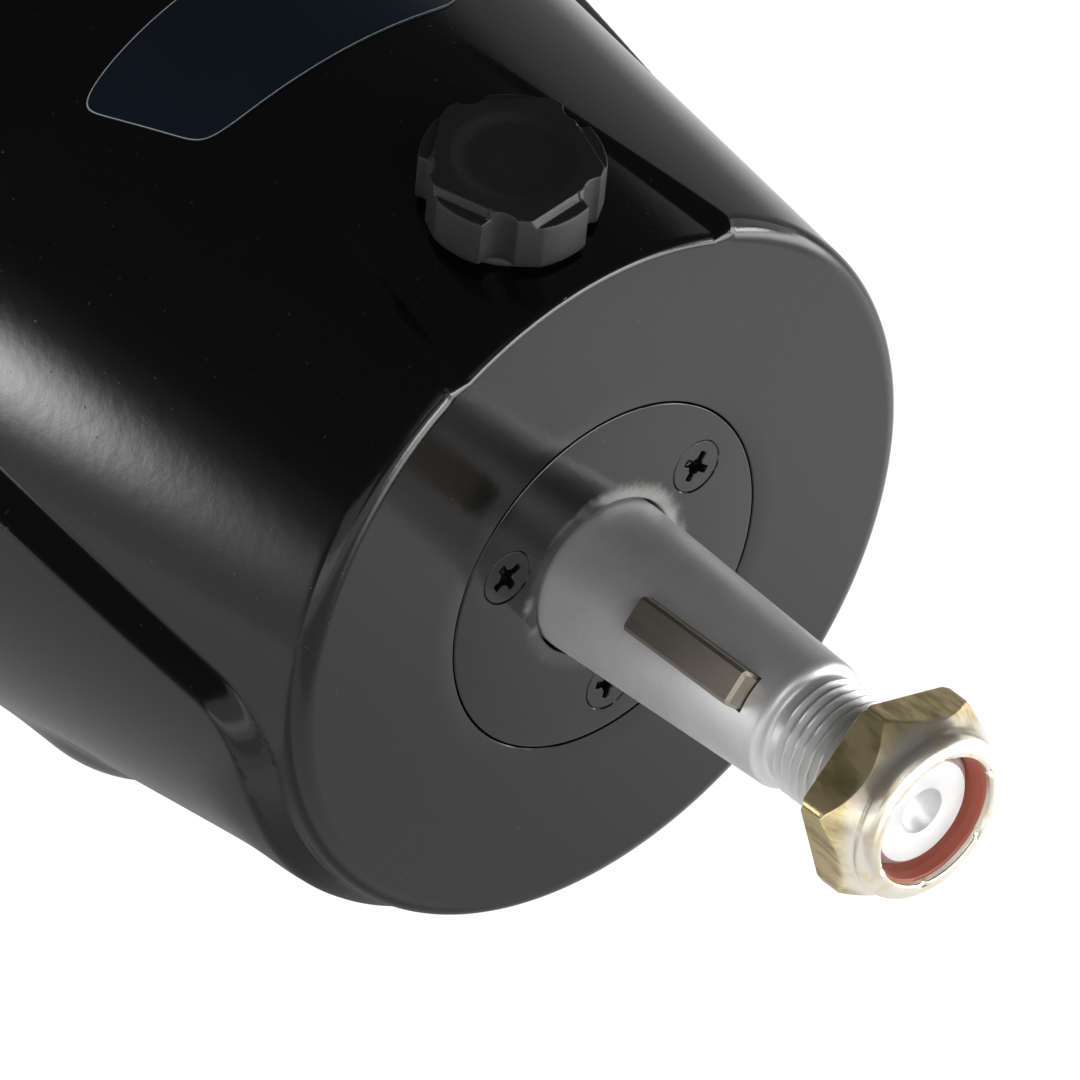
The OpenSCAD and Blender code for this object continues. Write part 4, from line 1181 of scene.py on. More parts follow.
@dataclass
class SealCover:
    """Round cover in the face, with its three screws."""

    face_y: float = -104.0
    radius: float = 23.6
    thickness: float = 5.0
    edge: float = 0.32
    rear_edge: float = 0.1
    hole_r: float = 10.7
    hole_edge: float = 0.3
    screw_circle_r: float = 17.2
    screw_angles: Point = (30.0, 150.0, 270.0)
    recess_turns: Point = (18.0, 52.0, 71.0)
    head_r: float = 3.5
    head_land: float = 0.15
    shank_r: float = 2.0
    screw_l: float = 12.0
    head_sink: float = 0.075
    recess_t: float = 1.5
    recess_wall: tuple[float, float] = (-0.34, 0.06)
    web_r: float = 1.05
    arm_half_w: float = 0.50
    arm_half_l: float = 2.05
    seat_gap: float = 0.05
    mouth_w: float = 0.18
    mouth_t: float = 0.16
    mouth_over: float = 0.02
    cut_over: float = 2.0
    cut_under: float = 1.0
    shank_edge: float = 0.3
    head_edges: tuple[float, float] = (0.1, 0.12)
    head_seam: float = 0.2
    recess_rim: float = 0.25
    face_seam: float = 2.0
    columns: int = 240
    seat_columns: int = 72
    screw_columns: int = 120
    recess_rows: int = 44
    creases: tuple[float, float] = (30.0, 40.0)

    @property
    def cone_end(self) -> float:
        """Where a screw's head has narrowed to its shank."""
        return self.face_y + self.head_sink + self.head_land + self.head_r - self.shank_r

    def on_circle(self, patch: Patch, angle: float) -> Patch:
        """A patch round the shaft axis, moved to a place on the circle of screws."""
        turn = turn_about_y(angle)
        return patch.moved(turn, turn @ (self.screw_circle_r, 0.0, 0.0))

    def seats(self) -> list[Patch]:
        """Countersinks for the screws, with a small bevel at the mouth.

        Returns:
            One closed surface for each screw.
        """
        y, end = self.face_y, self.face_y + self.thickness + self.cut_under
        top, shank = self.head_r + self.seat_gap, self.shank_r + self.seat_gap
        mouth = top + self.mouth_w
        profile = np.array([
            [0.0, y - self.cut_over], [mouth, y - self.cut_over], [mouth, y - self.mouth_over],
            [top, y + self.mouth_t], [top, y + self.head_sink + self.head_land],
            [shank, self.cone_end], [shank, end], [0.0, end]])
        seat = turned(profile, self.seat_columns)
        return [self.on_circle(seat, angle) for angle in self.screw_angles]

    def screw(self, angle: float, twist: float) -> Patch:
        """One countersunk screw with a cross recess.

        Over the head, the recess is depth * eased(-d), d the distance outside the nearer of two
        crossed bars, or outside a round web in their middle.

        Args:
            angle: Place on the circle of screws, in degrees.
            twist: Turn of the cross, in degrees.

        Returns:
            The screw's surface.
        """
        y, end = self.face_y + self.head_sink, self.face_y + self.screw_l
        body = rounded([
            (0.0, end, 0.0), (self.shank_r, end, self.shank_edge),
            (self.shank_r, self.cone_end, 0.0),
            (self.head_r, y + self.head_land, self.head_edges[0]),
            (self.head_r, y, self.head_edges[1]), (self.head_r - self.head_seam, y, 0.0)], steps=4)
        turn = wheel(self.screw_columns)[None, :]
        rings = np.linspace(self.head_r - self.recess_rim, 0.0, self.recess_rows)[:, None]
        t = turn + math.radians(twist)
        u, v = np.abs(rings * np.sin(t)), np.abs(rings * np.cos(t))
        bars = [np.maximum(a - self.arm_half_l, b - self.arm_half_w) for a, b in ((u, v), (v, u))]
        cross = np.minimum(np.minimum(*bars), np.hypot(u, v) - self.web_r)
        deep = self.recess_t * (1.0 - ease(*self.recess_wall, cross))
        rows = swept([band(body), (rings, y + deep)], turn)
        return self.on_circle(Patch.grid(rows), angle)

    def build(self) -> None:
        """Makes the cover and its screws."""
        y, back = self.face_y, self.face_y + self.thickness
        middle = self.hole_r + self.face_seam
        profile = rounded([
            (middle, y, 0.0), (self.radius, y, self.edge), (self.radius, back, self.rear_edge),
            (self.hole_r, back, self.rear_edge), (self.hole_r, y, self.hole_edge),
            (middle, y, 0.0)], steps=6)
        cover = mesh_object("round_cover", turned(profile[:-1], self.columns, True))
        carve(cover, self.seats())
        places = zip(self.screw_angles, self.recess_turns)
        screws = mesh_object("cross_screws", Patch.join([self.screw(*place) for place in places]))
        finish_piece(cover, Slot.COVER, Body.HELM, ["seal_cover"], self.creases[0])
        finish_piece(screws, Slot.SCREW, Body.HELM, ["cover_screws"], self.creases[1])


@dataclass
class SteeringShaft:
    """Tapered shaft with its keyway, key, neck, thread and centre hole.

    journals lists the corners of the steps behind the taper, from the front: radius, y and
    rounding.
    """

    face_y: float = -104.0
    taper_r: float = 10.3
    taper_l: float = 36.5
    taper_ratio: float = 12.0
    shoulder_r: float = 1.5
    neck_l: float = 3.0
    neck_r: float = 7.25
    neck_edge: float = 0.9
    thread_r: float = 7.94
    pitch: float = 1.411
    front: float = 57.0
    chamfer: float = 1.2
    centre_r: float = 3.1
    centre_edge: float = 0.15
    end_y: float = -90.5
    key_w: float = 4.76
    key_l: float = 19.0
    key_from: float = 14.2
    key_top_r: float = 11.6
    key_floor_r: float = 6.9
    key_angle: float = 133.0
    keyway_extra: float = 0.2
    keyway_over: float = 3.0
    key_bevel: float = 0.45
    gap: float = 0.05
    thread_over: float = 0.3
    seam: float = 0.35
    inset: float = 0.1
    columns: int = 168
    rows_per_pitch: int = 14
    creases: tuple[float, float] = (28.0, 20.0)
    journals: tuple[Point, ...] = (
        (10.0, -90.5, 0.0), (10.0, -78.45, 0.0), (12.4, -78.45, 0.3), (12.4, -59.0, 0.3),
        (9.08, -59.0, 0.0), (9.08, -25.05, 0.3), (7.0, -25.05, 0.0), (7.0, 12.35, 0.0),
        (6.0, 12.35, 0.0), (6.0, 26.0, 0.4), (0.0, 26.0, 0.0))

    @property
    def thread_y(self) -> float:
        """Where the thread starts, behind its front end."""
        return self.face_y - self.taper_l - self.neck_l

    def surface(self) -> Patch:
        """Front end, thread, neck, shoulder, taper and journals, from the front to the back.

        Returns:
            The closed surface.
        """
        tip = self.face_y - self.front
        angle = wheel(self.columns)[None, :]
        taper_end = self.taper_r - self.taper_l / self.taper_ratio / 2.0
        shoulder_y = self.face_y - self.taper_l
        nose_r = self.thread_r - self.chamfer
        nose = rounded([(0.0, tip + self.centre_r * math.sqrt(3.0), 0.0),
                        (self.centre_r, tip, self.centre_edge),
                        (nose_r - self.inset, tip, 0.0)], steps=4)
        pace = self.pitch / self.rows_per_pitch
        along = np.arange(tip, self.thread_y + self.thread_over, pace)[:, None]
        worm = thread_radius(along, angle, self.thread_r, self.pitch)
        run_out = self.neck_r + (self.thread_y + self.neck_edge - along)
        limit = np.minimum(nose_r + (along - tip), run_out)
        tail = rounded([
            (self.neck_r, self.thread_y + self.seam, 0.0),
            (self.neck_r, shoulder_y - self.neck_edge, self.neck_edge),
            (taper_end - self.inset, shoulder_y - self.seam, self.shoulder_r),
            (self.taper_r, self.face_y, 0.0), (self.taper_r, self.end_y, 0.0),
            *self.journals], steps=9)
        thread = (np.minimum(worm, limit), along)
        return Patch.grid(swept([band(nose), thread, band(tail)], angle))

    def bar(self, radii: tuple[float, float], ends: tuple[float, float], half_w: float,
            bevel: float) -> Patch:
        """Bevelled bar in the keyway's direction: one section drawn in at both ends.

        Args:
            radii: Radius of its floor and of its top.
            ends: Its front end and its rear end along y.
            half_w: Half of its width.
            bevel: Bevel of its edges.

        Returns:
            The bar's surface.
        """
        (low, high), (front, rear), b = radii, ends, bevel
        half = np.array([[low, -half_w + b], [low + b, -half_w], [high - b, -half_w],
                         [high, -half_w + b]])
        section = np.concatenate([half, half[::-1] * (1.0, -1.0)])
        centre = np.array([(low + high) / 2.0, 0.0])
        shrink = 1.0 - b / half_w
        scale = np.array([0.0, shrink, 1.0, 1.0, shrink, 0.0])[:, None, None]
        flat = centre + (section[None] - centre) * scale
        y = np.array([front, front, front + b, rear - b, rear, rear])[:, None]
        y = np.broadcast_to(y, flat.shape[:2])
        points = np.stack([flat[..., 0], y, flat[..., 1]], axis=-1)
        return Patch.grid(points).moved(turn_about_y(self.key_angle), ORIGIN)

    def build(self) -> None:
        """Makes the shaft, cuts the keyway and adds the key."""
        rear = self.face_y - self.key_from
        front, half_w, gap = rear - self.key_l, self.key_w / 2.0, self.gap
        shaft = mesh_object("tapered_shaft", self.surface())
        carve(shaft, [self.bar((self.key_floor_r, self.taper_r + self.keyway_over),
                               (front - self.keyway_extra, rear + gap), half_w + gap, gap)])
        key = mesh_object("square_key", self.bar((self.key_floor_r + gap, self.key_top_r),
                                                 (front, rear), half_w, self.key_bevel))
        finish_piece(shaft, Slot.SHAFT, Body.SHAFT, ["shaft"], self.creases[0])
        finish_piece(key, Slot.KEY, Body.SHAFT, ["shaft_key"], self.creases[1])


@dataclass
class WheelNut:
    """Lock nut: hexagon, round collar with crimp marks, and a nylon ring."""

    rear_y: float = -154.0
    height: float = 9.6
    flats: float = 23.8
    sides: int = 6
    hex_h: float = 3.4
    corner_angle: float = 41.0
    corner_soft: float = 0.16
    corner_zone: float = 0.035
    rear_chamfer: float = 0.45
    edge: float = 0.12
    collar_r: float = 11.2
    collar_edge: float = 2.0
    bore_r: float = 8.0
    bore_chamfer: float = 0.6
    ring_r: float = 9.4
    ring_h: float = 3.2
    ring_gap: float = 0.05
    ring_edge: float = 0.2
    ring_mouth: tuple[float, float] = (0.3, 1.3)
    lip_t: float = 1.0
    lip_r: float = 8.6
    lip_edge: float = 0.4
    crimps: int = 6
    crimp_t: float = 0.40
    crimp_phase: float = 0.28
    crimp_zone: float = 0.045
    crimp_reach: tuple[float, float] = (0.1, 1.6)
    crimp_draw: float = 0.25
    slope: float = 1.43
    front_edge: float = 0.10
    seam: float = 0.03
    lip_seam: float = 0.02
    lip_back: float = 0.1
    mouth_r: float = 0.6
    ring_seam: float = 1.0
    flat_columns: int = 48
    bunching: float = 1.35
    flat_rows: int = 6
    cone_rows: int = 22
    cone_pace: float = 1.2
    collar_rows: int = 16
    ring_columns: int = 120
    crease: float = 26.0

    @property
    def front_y(self) -> float:
        """Front end of the collar."""
        return self.rear_y - self.height

    def angles(self) -> np.ndarray:
        """Angles round the nut, closer together at the corners of the hexagon.

        Returns:
            One row of angles from the top.
        """
        sector = TURN / self.sides
        even = np.linspace(-1.0, 1.0, self.flat_columns + 1)[:-1]
        bunched = np.sign(even) * (1.0 - (1.0 - np.abs(even)) ** self.bunching) * sector / 2.0
        turns = np.arange(self.sides)[:, None] * sector + bunched[None, :]
        return turns.reshape(-1)[None, :] + math.radians(90.0 - self.corner_angle) + sector / 2.0

    def inside(self, angle: np.ndarray) -> tuple[np.ndarray, np.ndarray]:
        """Lip with its crimps, ring groove and bore, from the front to the rear.

        Each crimp is a narrow dent, exp(-(angle / width)^2), in the lip.

        Args:
            angle: Angle of each column.

        Returns:
            Radius and y, row by row.
        """
        front, wide = self.front_y, self.ring_r + self.ring_gap
        groove, end = front + self.lip_t, front + self.lip_t + self.ring_h + self.ring_gap
        profile = rounded([
            (self.collar_r - self.collar_edge - self.lip_seam, front, 0.0),
            (self.lip_r, front, self.lip_edge), (self.lip_r, groove, 0.0), (wide, groove, 0.0),
            (wide, end, 0.0), (self.bore_r, end, 0.0),
            (self.bore_r, self.rear_y - self.bore_chamfer, 0.0),
            (self.bore_r + self.bore_chamfer, self.rear_y, 0.0),
            (self.flats / 2.0 - self.bore_chamfer, self.rear_y, 0.0)], steps=7)
        radius, along = band(profile)
        phase = (angle * self.crimps / TURN + self.crimp_phase) % 1.0 - 0.5
        spot = np.exp(-(phase / self.crimp_zone) ** 2)
        inner, outer = (self.lip_r + reach for reach in self.crimp_reach)
        fade = (along < groove - self.lip_back) * (1.0 - ease(inner, outer, radius))
        dent = self.crimp_t * spot * fade
        return radius - self.crimp_draw * dent, along + dent

    def surface(self) -> Patch:
        """Hexagon, cone, collar and lip, row by row round the axis.

        The hexagon's radius is flats / 2 / cos(a), a the angle from the nearest flat, a little less
        at the corners. Its front edge lies on a cone, so a row there has
        y = rear - h - (corner - r) * slope. A smooth curve then leads down to the collar.

        Returns:
            The closed surface.
        """
        angle, sector = self.angles(), TURN / self.sides
        corner_r = self.flats / math.sqrt(3.0)
        from_flat = (angle - math.radians(90.0 - self.corner_angle)) % sector - sector / 2.0
        from_corner = (sector / 2.0 - np.abs(from_flat)) / self.corner_zone
        side = self.flats / 2.0 / np.cos(from_flat) - self.corner_soft * np.exp(-from_corner ** 2)
        beyond = np.maximum(side - corner_r + self.rear_chamfer, 0.0)
        rear = self.rear_y - beyond * self.slope
        edge = self.rear_y - self.hex_h - (corner_r - side) * self.slope
        t = np.linspace(0.0, 1.0, self.flat_rows)[:, None]
        flat_y = rear - self.edge + (edge + self.front_edge - rear + self.edge) * t

        foot = self.rear_y - self.hex_h - (corner_r - self.collar_r) * self.slope
        low = self.front_y + self.collar_edge
        t = np.linspace(0.0, 1.0, self.cone_rows)[1:, None] ** self.cone_pace
        a, b, c = (1 - t) ** 2, 2 * t * (1 - t), t * t
        cone_r = a * (side - 2.0 * self.seam) + (b + c) * self.collar_r
        cone_y = a * (edge - self.seam) + b * foot + c * low

        bend = np.linspace(0.0, math.pi / 2.0, self.collar_rows)[1:, None]
        collar_r = self.collar_r - self.collar_edge * (1.0 - np.cos(bend))
        collar_y = low - self.collar_edge * np.sin(bend)
        bands = [(side - self.edge, rear), (side, flat_y), (side - self.seam, edge),
                 (cone_r, cone_y), (collar_r, collar_y), self.inside(angle)]
        return Patch.grid(swept(bands, angle), True)

    def build(self) -> None:
        """Makes the nut and its nylon ring."""
        nut = mesh_object("lock_nut", self.surface())
        start, outer, inner = self.front_y + self.lip_t, self.ring_r, self.bore_r
        end, seam = start + self.ring_h, (outer, start + self.ring_seam, 0.0)
        wide, deep = self.ring_mouth
        ring = rounded([
            seam, (outer, start, self.ring_edge), (inner + wide, start, wide),
            (inner, start + deep, self.mouth_r), (inner, end, self.ring_edge),
            (outer, end, self.ring_edge), seam], steps=6)
        nylon = mesh_object("nylon_ring", turned(ring[:-1], self.ring_columns, True))
        finish_piece(nut, Slot.NUT, Body.NUT, ["wheel_nut"], self.crease)
        finish_piece(nylon, Slot.NYLON, Body.NUT_RING, ["nut_insert"])


@dataclass
class FillerCap:
    """Five-lobed cap with sloped facets, a dished top and a stem."""

    radius: float = 11.2
    height: float = 7.8
    lift: float = 0.8
    lobes: int = 5
    notch_angle: float = 12.0
    notch_before: float = 10.0
    notch_r: float = 2.2
    notch_from: float = 11.65
    notch_soft: float = 0.22
    no_notch: float = 3.0
    ledge_t: float = 1.1
    ledge_from: float = 9.15
    ledge_angle: float = 21.0
    ledge_wall: float = 0.55
    flank_from: float = 10.72
    flank_angle: float = 62.0
    flank_soft: float = 0.05
    dish_t: float = 0.5
    dish_r: float = 7.8
    dish_wall: float = 2.4
    edge: float = 0.22
    stem_r: float = 7.9
    stem_l: float = 9.0
    stem_edge: float = 0.8
    columns: int = 400
    foot: tuple[tuple[float, float], ...] = ((-0.8, 0.0), (-0.2, 0.0), (-0.05, 0.08), (0.0, 0.25))
    stem_seam: tuple[float, float] = (0.6, 0.2)
    side_rows: int = 9
    brow_rows: int = 5
    outer_share: float = 0.68
    outer_rows: int = 44
    inner_rows: int = 22
    crease: float = 20.0

    @staticmethod
    def lower(first: np.ndarray, second: np.ndarray, soft: float) -> np.ndarray:
        """Smaller of two arrays, rounded over a soft width where they meet."""
        share = np.clip(0.5 + 0.5 * (second - first) / soft, 0.0, 1.0)
        return second * (1 - share) + first * share - soft * share * (1 - share)

    def from_notch(self, angle: np.ndarray) -> np.ndarray:
        """Angle past the nearest notch, from a little before it up to the next lobe."""
        before = math.radians(self.notch_before)
        return (angle - math.radians(self.notch_angle) + before) % (TURN / self.lobes) - before

    def outline(self, angle: np.ndarray) -> np.ndarray:
        """Radius of the lobes: the least of a disc, a flat flank and a round notch.

        A notch is met at n cos(d) - sqrt(q^2 - n^2 sin^2(d)), d the angle from the notch, n its
        distance and q its radius; a flank at f / cos(angle - its middle).

        Args:
            angle: Angle from the back towards the right.

        Returns:
            Radius at each angle.
        """
        sector = TURN / self.lobes
        past = self.from_notch(angle)
        away = np.minimum(np.abs(past), sector - past)
        inner = self.notch_r ** 2 - (self.notch_from * np.sin(away)) ** 2
        notch = self.notch_from * np.cos(away) - np.sqrt(np.maximum(inner, 0.0))
        notch = notch + self.no_notch * (inner <= 0.0)
        middle = math.radians(self.flank_angle)
        turn = np.minimum(np.abs(past - middle), np.abs(past - middle + sector))
        flank = self.flank_from / np.cos(turn)
        disc = self.lower(np.full_like(flank, self.radius), flank, self.flank_soft)
        return self.lower(disc, notch, self.notch_soft)

    def lid(self, radius: np.ndarray, angle: np.ndarray) -> np.ndarray:
        """Height of the top: a dish, and a drop past each ledge's straight edge.

        Args:
            radius: Distance from the cap's axis.
            angle: Angle from the back towards the right.

        Returns:
            Height above the platform.
        """
        reach = radius * np.cos(self.from_notch(angle) - math.radians(self.ledge_angle))
        drop = self.ledge_t * ease(self.ledge_from, self.ledge_from + self.ledge_wall, reach)
        dish = self.dish_t * (1.0 - ease(self.dish_r - self.dish_wall, self.dish_r, radius))
        return self.lift + self.height - dish - drop

    def surface(self) -> Patch:
        """Stem, underside, lobed side and top, ring by ring.

        Returns:
            The closed surface in the filler's frame, with Z up.
        """
        angle = wheel(self.columns)[None, :]
        rim = self.outline(angle)
        out, hollow = self.stem_seam
        stem = rounded([
            (0.0, -self.stem_l, 0.0), (self.stem_r, -self.stem_l, self.stem_edge),
            (self.stem_r, self.lift, hollow), (self.stem_r + out, self.lift, 0.0)], steps=5)
        foot = np.array(self.foot)
        foot_z = self.lift + foot[:, 1:]
        shoulder = self.lid(rim, angle) - self.edge
        climb = np.linspace(0.0, 1.0, self.side_rows)[1:, None]
        side_z = foot_z[-1:] + (shoulder - foot_z[-1:]) * climb
        bend = np.linspace(0.0, math.pi / 2.0, self.brow_rows)[1:, None]
        brow_r = rim - self.edge * (1.0 - np.cos(bend))
        brow_z = shoulder + (self.lid(brow_r, angle) - shoulder) * np.sin(bend)
        outer = np.linspace(1.0, self.outer_share, self.outer_rows)[1:]
        inner = np.linspace(self.outer_share, 0.0, self.inner_rows)[1:]
        share = np.concatenate([outer, inner])[:, None]
        lid_r = (rim - self.edge) * share
        bands = [band(stem), (rim + foot[:, :1], foot_z), (rim, side_z), (brow_r, brow_z),
                 (lid_r, self.lid(lid_r, angle))]
        return Patch.grid(swept(bands, angle)[..., [0, 2, 1]])

    def build(self, body: FrontBody) -> None:
        """Makes the cap on the body's platform.

        Args:
            body: Front body that carries it.
        """
        cap = mesh_object("lobed_cap", self.surface().moved(*body.filler_frame()))
        finish_piece(cap, Slot.CAP, Body.CAP, ["filler_cap"], self.crease)


@dataclass
class Label:
    """Bare printed plate behind the cap, with round corners and a pale edge line."""

    front: float = 45.85
    front_bow: float = 0.85
    rear: float = 65.70
    rear_bow: float = 1.90
    front_half_angle: float = 21.9
    rear_half_angle: float = 28.6
    thickness: float = 0.25
    gap: float = 0.05
    squareness: float = 10.0
    rings: int = 40
    columns: int = 320
    rounds: int = 6
    crease: float = 40.0

    def half_angle(self, v: np.ndarray) -> np.ndarray:
        """Half of the plate's angle, in radians, from -1 at its front edge to 1 at its rear."""
        wider = self.rear_half_angle - self.front_half_angle
        return np.radians(self.front_half_angle + wider * (v + 1.0) / 2.0)

    def edges(self, u: np.ndarray) -> tuple[np.ndarray, np.ndarray]:
        """Distance of the bowed front and rear edges behind the face, at u across the plate."""
        return self.front + self.front_bow * u * u, self.rear - self.rear_bow * u * u

    def build(self, body: FrontBody) -> None:
        """Makes the plate: a rounded outline drawn in to its middle, laid on the cone.

        The outline is |u|^n + |v|^n = 1; each ring is that outline times a shrinking share, and u
        and v are then spread between the plate's bowed front and rear edges.

        Args:
            body: Front body that carries it.
        """
        turn, n = wheel(self.columns)[None, :], self.squareness
        c, s = np.cos(turn), np.sin(turn)
        reach = (np.abs(c) ** n + np.abs(s) ** n) ** (-1.0 / n)
        inward = 1.0 - np.linspace(0.0, 1.0, self.rings) ** 2.0
        share = np.concatenate([[0.0, 1.0, 1.0], inward])[:, None]
        u, v = share * reach * c, share * reach * s
        front, rear = self.edges(u)
        behind = front + (rear - front) * ((v + 1.0) / 2.0)
        underside = np.arange(len(share))[:, None] < 2
        radius = body.cone(behind) + np.where(underside, self.gap, self.thickness)
        rows = about_axis(radius, body.face_y + behind, u * self.half_angle(v))
        plate = mesh_object("bare_label", Patch.grid(rows))
        self.map_edge(plate, body)
        finish_piece(plate, Slot.LABEL, Body.HELM, ["label_plate"], self.crease)

    def map_edge(self, plate: bpy.types.Object, body: FrontBody) -> None:
        """Writes each corner's distance from the plate's edge into its texture map.

        The distance is in millimetres. The place on the plate, u and v, is found from the angle and
        the distance behind the face in a few rounds, as each depends on the other.

        Args:
            plate: The plate's object.
            body: Front body that carries it.
        """
        mesh, n = plate.data, self.squareness
        places = np.empty(len(mesh.vertices) * 3)
        mesh.vertices.foreach_get("co", places)
        x, y, z = places.reshape(-1, 3).T / MM
        angle, behind = np.arctan2(x, z), y - body.face_y
        u, v, half = np.zeros_like(angle), np.zeros_like(angle), np.ones_like(angle)
        for _ in range(self.rounds):
            front, rear = self.edges(u)
            v = 2.0 * (behind - front) / (rear - front) - 1.0
            half = self.half_angle(v)
            u = angle / half
        across, along = np.abs(u) ** n, np.abs(v) ** n
        size = (across + along) ** (1.0 / n)
        share = across / (across + along + 1e-9)
        width = share * half * body.cone_r + (1.0 - share) * (self.rear - self.front) / 2.0
        inset = (1.0 - size) * width
        corners = np.empty(len(mesh.loops), dtype=np.int32)
        mesh.loops.foreach_get("vertex_index", corners)
        layer = mesh.uv_layers.new(name="edge_distance")
        layer.data.foreach_set("uv", np.stack([inset[corners], v[corners]], axis=-1).ravel())


@dataclass
class DashStuds:
    """Four threaded studs behind the flange."""

    circle_r: float = 64.5
    radius: float = 3.175
    end_r: float = 2.8
    from_y: float = -8.5
    length: float = 45.0
    pitch: float = 1.27
    chamfer: float = 0.8
    first_angle: float = 45.0
    count: int = 4
    columns: int = 48
    rows_per_pitch: int = 12

    def build(self) -> None:
        """Makes the studs, with a plain end in the flange and a thread behind the dash."""
        angle = wheel(self.columns)[None, :]
        along = np.arange(0.0, self.length, self.pitch / self.rows_per_pitch)[:, None]
        worm = thread_radius(along, angle, self.radius, self.pitch)
        worm = np.minimum(worm, self.radius - self.chamfer + self.length - along)
        plain = np.array([[0.0, self.from_y], [self.end_r, self.from_y], [self.end_r, 0.0]])
        tip = np.array([[0.0, self.length]])
        stud = Patch.grid(swept([band(plain), (worm, along), band(tip)], angle))
        turns = [self.first_angle + 360.0 * i / self.count for i in range(self.count)]
        places = [turn_about_y(turn) @ (self.circle_r, 0.0, 0.0) for turn in turns]
        studs = Patch.join([stud.moved(np.eye(3), place) for place in places])
        piece = mesh_object("dash_studs", studs)
        finish_piece(piece, Slot.ZINC, Body.HELM, ["mounting_studs"])


@dataclass
class PoppetSprings:
    """Two coil springs that hold the check poppets on their seats and shorten as they lift."""

    from_x: float = 23.85
    to_x: float = 32.75
    bore_y: float = 30.0
    bore_z: float = -18.0
    outer_r: float = 5.95
    wire_d: float = 1.2
    coils: float = 4.25
    lift: float = 1.5
    rows: int = 240
    columns: int = 16
    crease: float = 60.0

    def surface(self, side: int) -> Patch:
        """Round wire along a helix, closed at both ends.

        The helix is (x, R cos a, R sin a), with x in step with the angle a. The wire's ring lies in
        the plane of the outward direction and of the helix tangent's cross product with it. The
        first and the last row are drawn in to a point.

        Args:
            side: 1 for the right spring, -1 for the left one.

        Returns:
            The closed surface.
        """
        wire, middle = self.wire_d / 2.0, self.outer_r - self.wire_d / 2.0
        share = np.linspace(0.0, 1.0, self.rows)[:, None]
        a = share * self.coils * TURN
        length = self.to_x - self.from_x - self.wire_d
        x = self.from_x + wire + length * share
        centre = np.concatenate([x, middle * np.cos(a), middle * np.sin(a)], axis=1)
        rise = np.full_like(a, length / (self.coils * TURN))
        along = np.concatenate([rise, -middle * np.sin(a), middle * np.cos(a)], axis=1)
        along /= np.linalg.norm(along, axis=1, keepdims=True)
        out = np.concatenate([np.zeros_like(a), np.cos(a), np.sin(a)], axis=1)
        across = np.cross(along, out)
        ring = wheel(self.columns)[None, :, None]
        size = np.full_like(share, wire)
        size[0], size[-1] = 0.0, 0.0
        centre[0], centre[-1] = centre[1], centre[-2]
        circle = out[:, None] * np.cos(ring) + across[:, None] * np.sin(ring)
        points = centre[:, None] + size[:, None] * circle
        return Patch.grid(points * (side, 1.0, 1.0) + (0.0, self.bore_y, self.bore_z))

    def build(self) -> None:
        """Makes both springs and gives each its own copy of its mesh."""
        for name, side in (("right", 1), ("left", -1)):
            coil = mesh_object(f"coil_spring_{name}", self.surface(side))
            finish_piece(coil, Slot.PUMP, Body.HELM, [f"poppet_spring_{name}"], self.crease)
            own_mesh(coil)


@dataclass
class InnerPieces:
    """The pieces that show their CAD solids, each in the finish of its material slot."""

    record: dict[str, Any]
    nodes: dict[str, bpy.types.Object]

    def build(self) -> None:
        """Puts the finish on every node of the frame."""
        slots = {row["node"]: Slot(row["material_slot"]) for row in self.record["subparts"]}
        for name, node in self.nodes.items():
            material = FINISHES[slots[name]].material()
            if node.material_slots:
                for place in node.material_slots:
                    place.material = material
            else:
                node.data.materials.append(material)
        log.info("%d CAD nodes in the frame", len(self.nodes))


# Studio


def sheet(name: str, place: Point, half: tuple[float, float],
          upright: bool = False) -> bpy.types.Object:
    """Rectangle of the studio, which is not part of the object.

    Args:
        name: Name of the sheet.
        place: Its middle, in millimetres; a flat sheet lies over the origin.
        half: Half of its width and height, in millimetres.
        upright: Whether it stands and faces the object; otherwise it lies flat.

    Returns:
        The sheet.
    """
    w, h, z = half[0] * MM, half[1] * MM, 0.0 if upright else place[2] * MM
    mesh = bpy.data.meshes.new(name)
    mesh.from_pydata([(-w, -h, z), (w, -h, z), (w, h, z), (-w, h, z)], [], [(0, 1, 2, 3)])
    piece = bpy.data.objects.new(name, mesh)
    if upright:
        flat = Vector((-place[0], -place[1], 0.0)).to_track_quat("Z", "Y").to_matrix()
        piece.matrix_world = Matrix.Translation(Vector(place) * MM) @ flat.to_4x4()
    bpy.context.scene.collection.objects.link(piece)
    return piece


@dataclass(frozen=True)
class Card:
    """Sheet of light that gloss and metal mirror; matt tells whether it lights matt skins too."""

    name: str
    place: Point
    half: tuple[float, float]
    shine: Callable[[Recipe], Signal]
    upright: bool = True
    matt: bool = False

    def build(self) -> None:
        """Hangs the card where the camera does not see it."""
        card = sheet(self.name, self.place, self.half, self.upright)
        card.data.materials.append(Recipe(self.name).glow(self.shine))
        card.visible_camera = card.visible_shadow = False
        card.visible_diffuse = self.matt


@dataclass(frozen=True)
class Lamp:
    """Soft rectangular lamp: its place, what it faces and its size in millimetres, and watts."""

    name: str
    place: Point
    aim: Point
    size: tuple[float, float]
    power: float

    def build(self) -> None:
        """Sets the lamp up."""
        data = bpy.data.lights.new(self.name, "AREA")
        data.shape, data.energy = "RECTANGLE", self.power
        data.size, data.size_y = (side * MM for side in self.size)
        lamp = bpy.data.objects.new(self.name, data)
        start, end = Vector(self.place) * MM, Vector(self.aim) * MM
        turn = (end - start).to_track_quat("-Z", "Y").to_matrix().to_4x4()
        lamp.matrix_world = Matrix.Translation(start) @ turn
        bpy.context.scene.collection.objects.link(lamp)


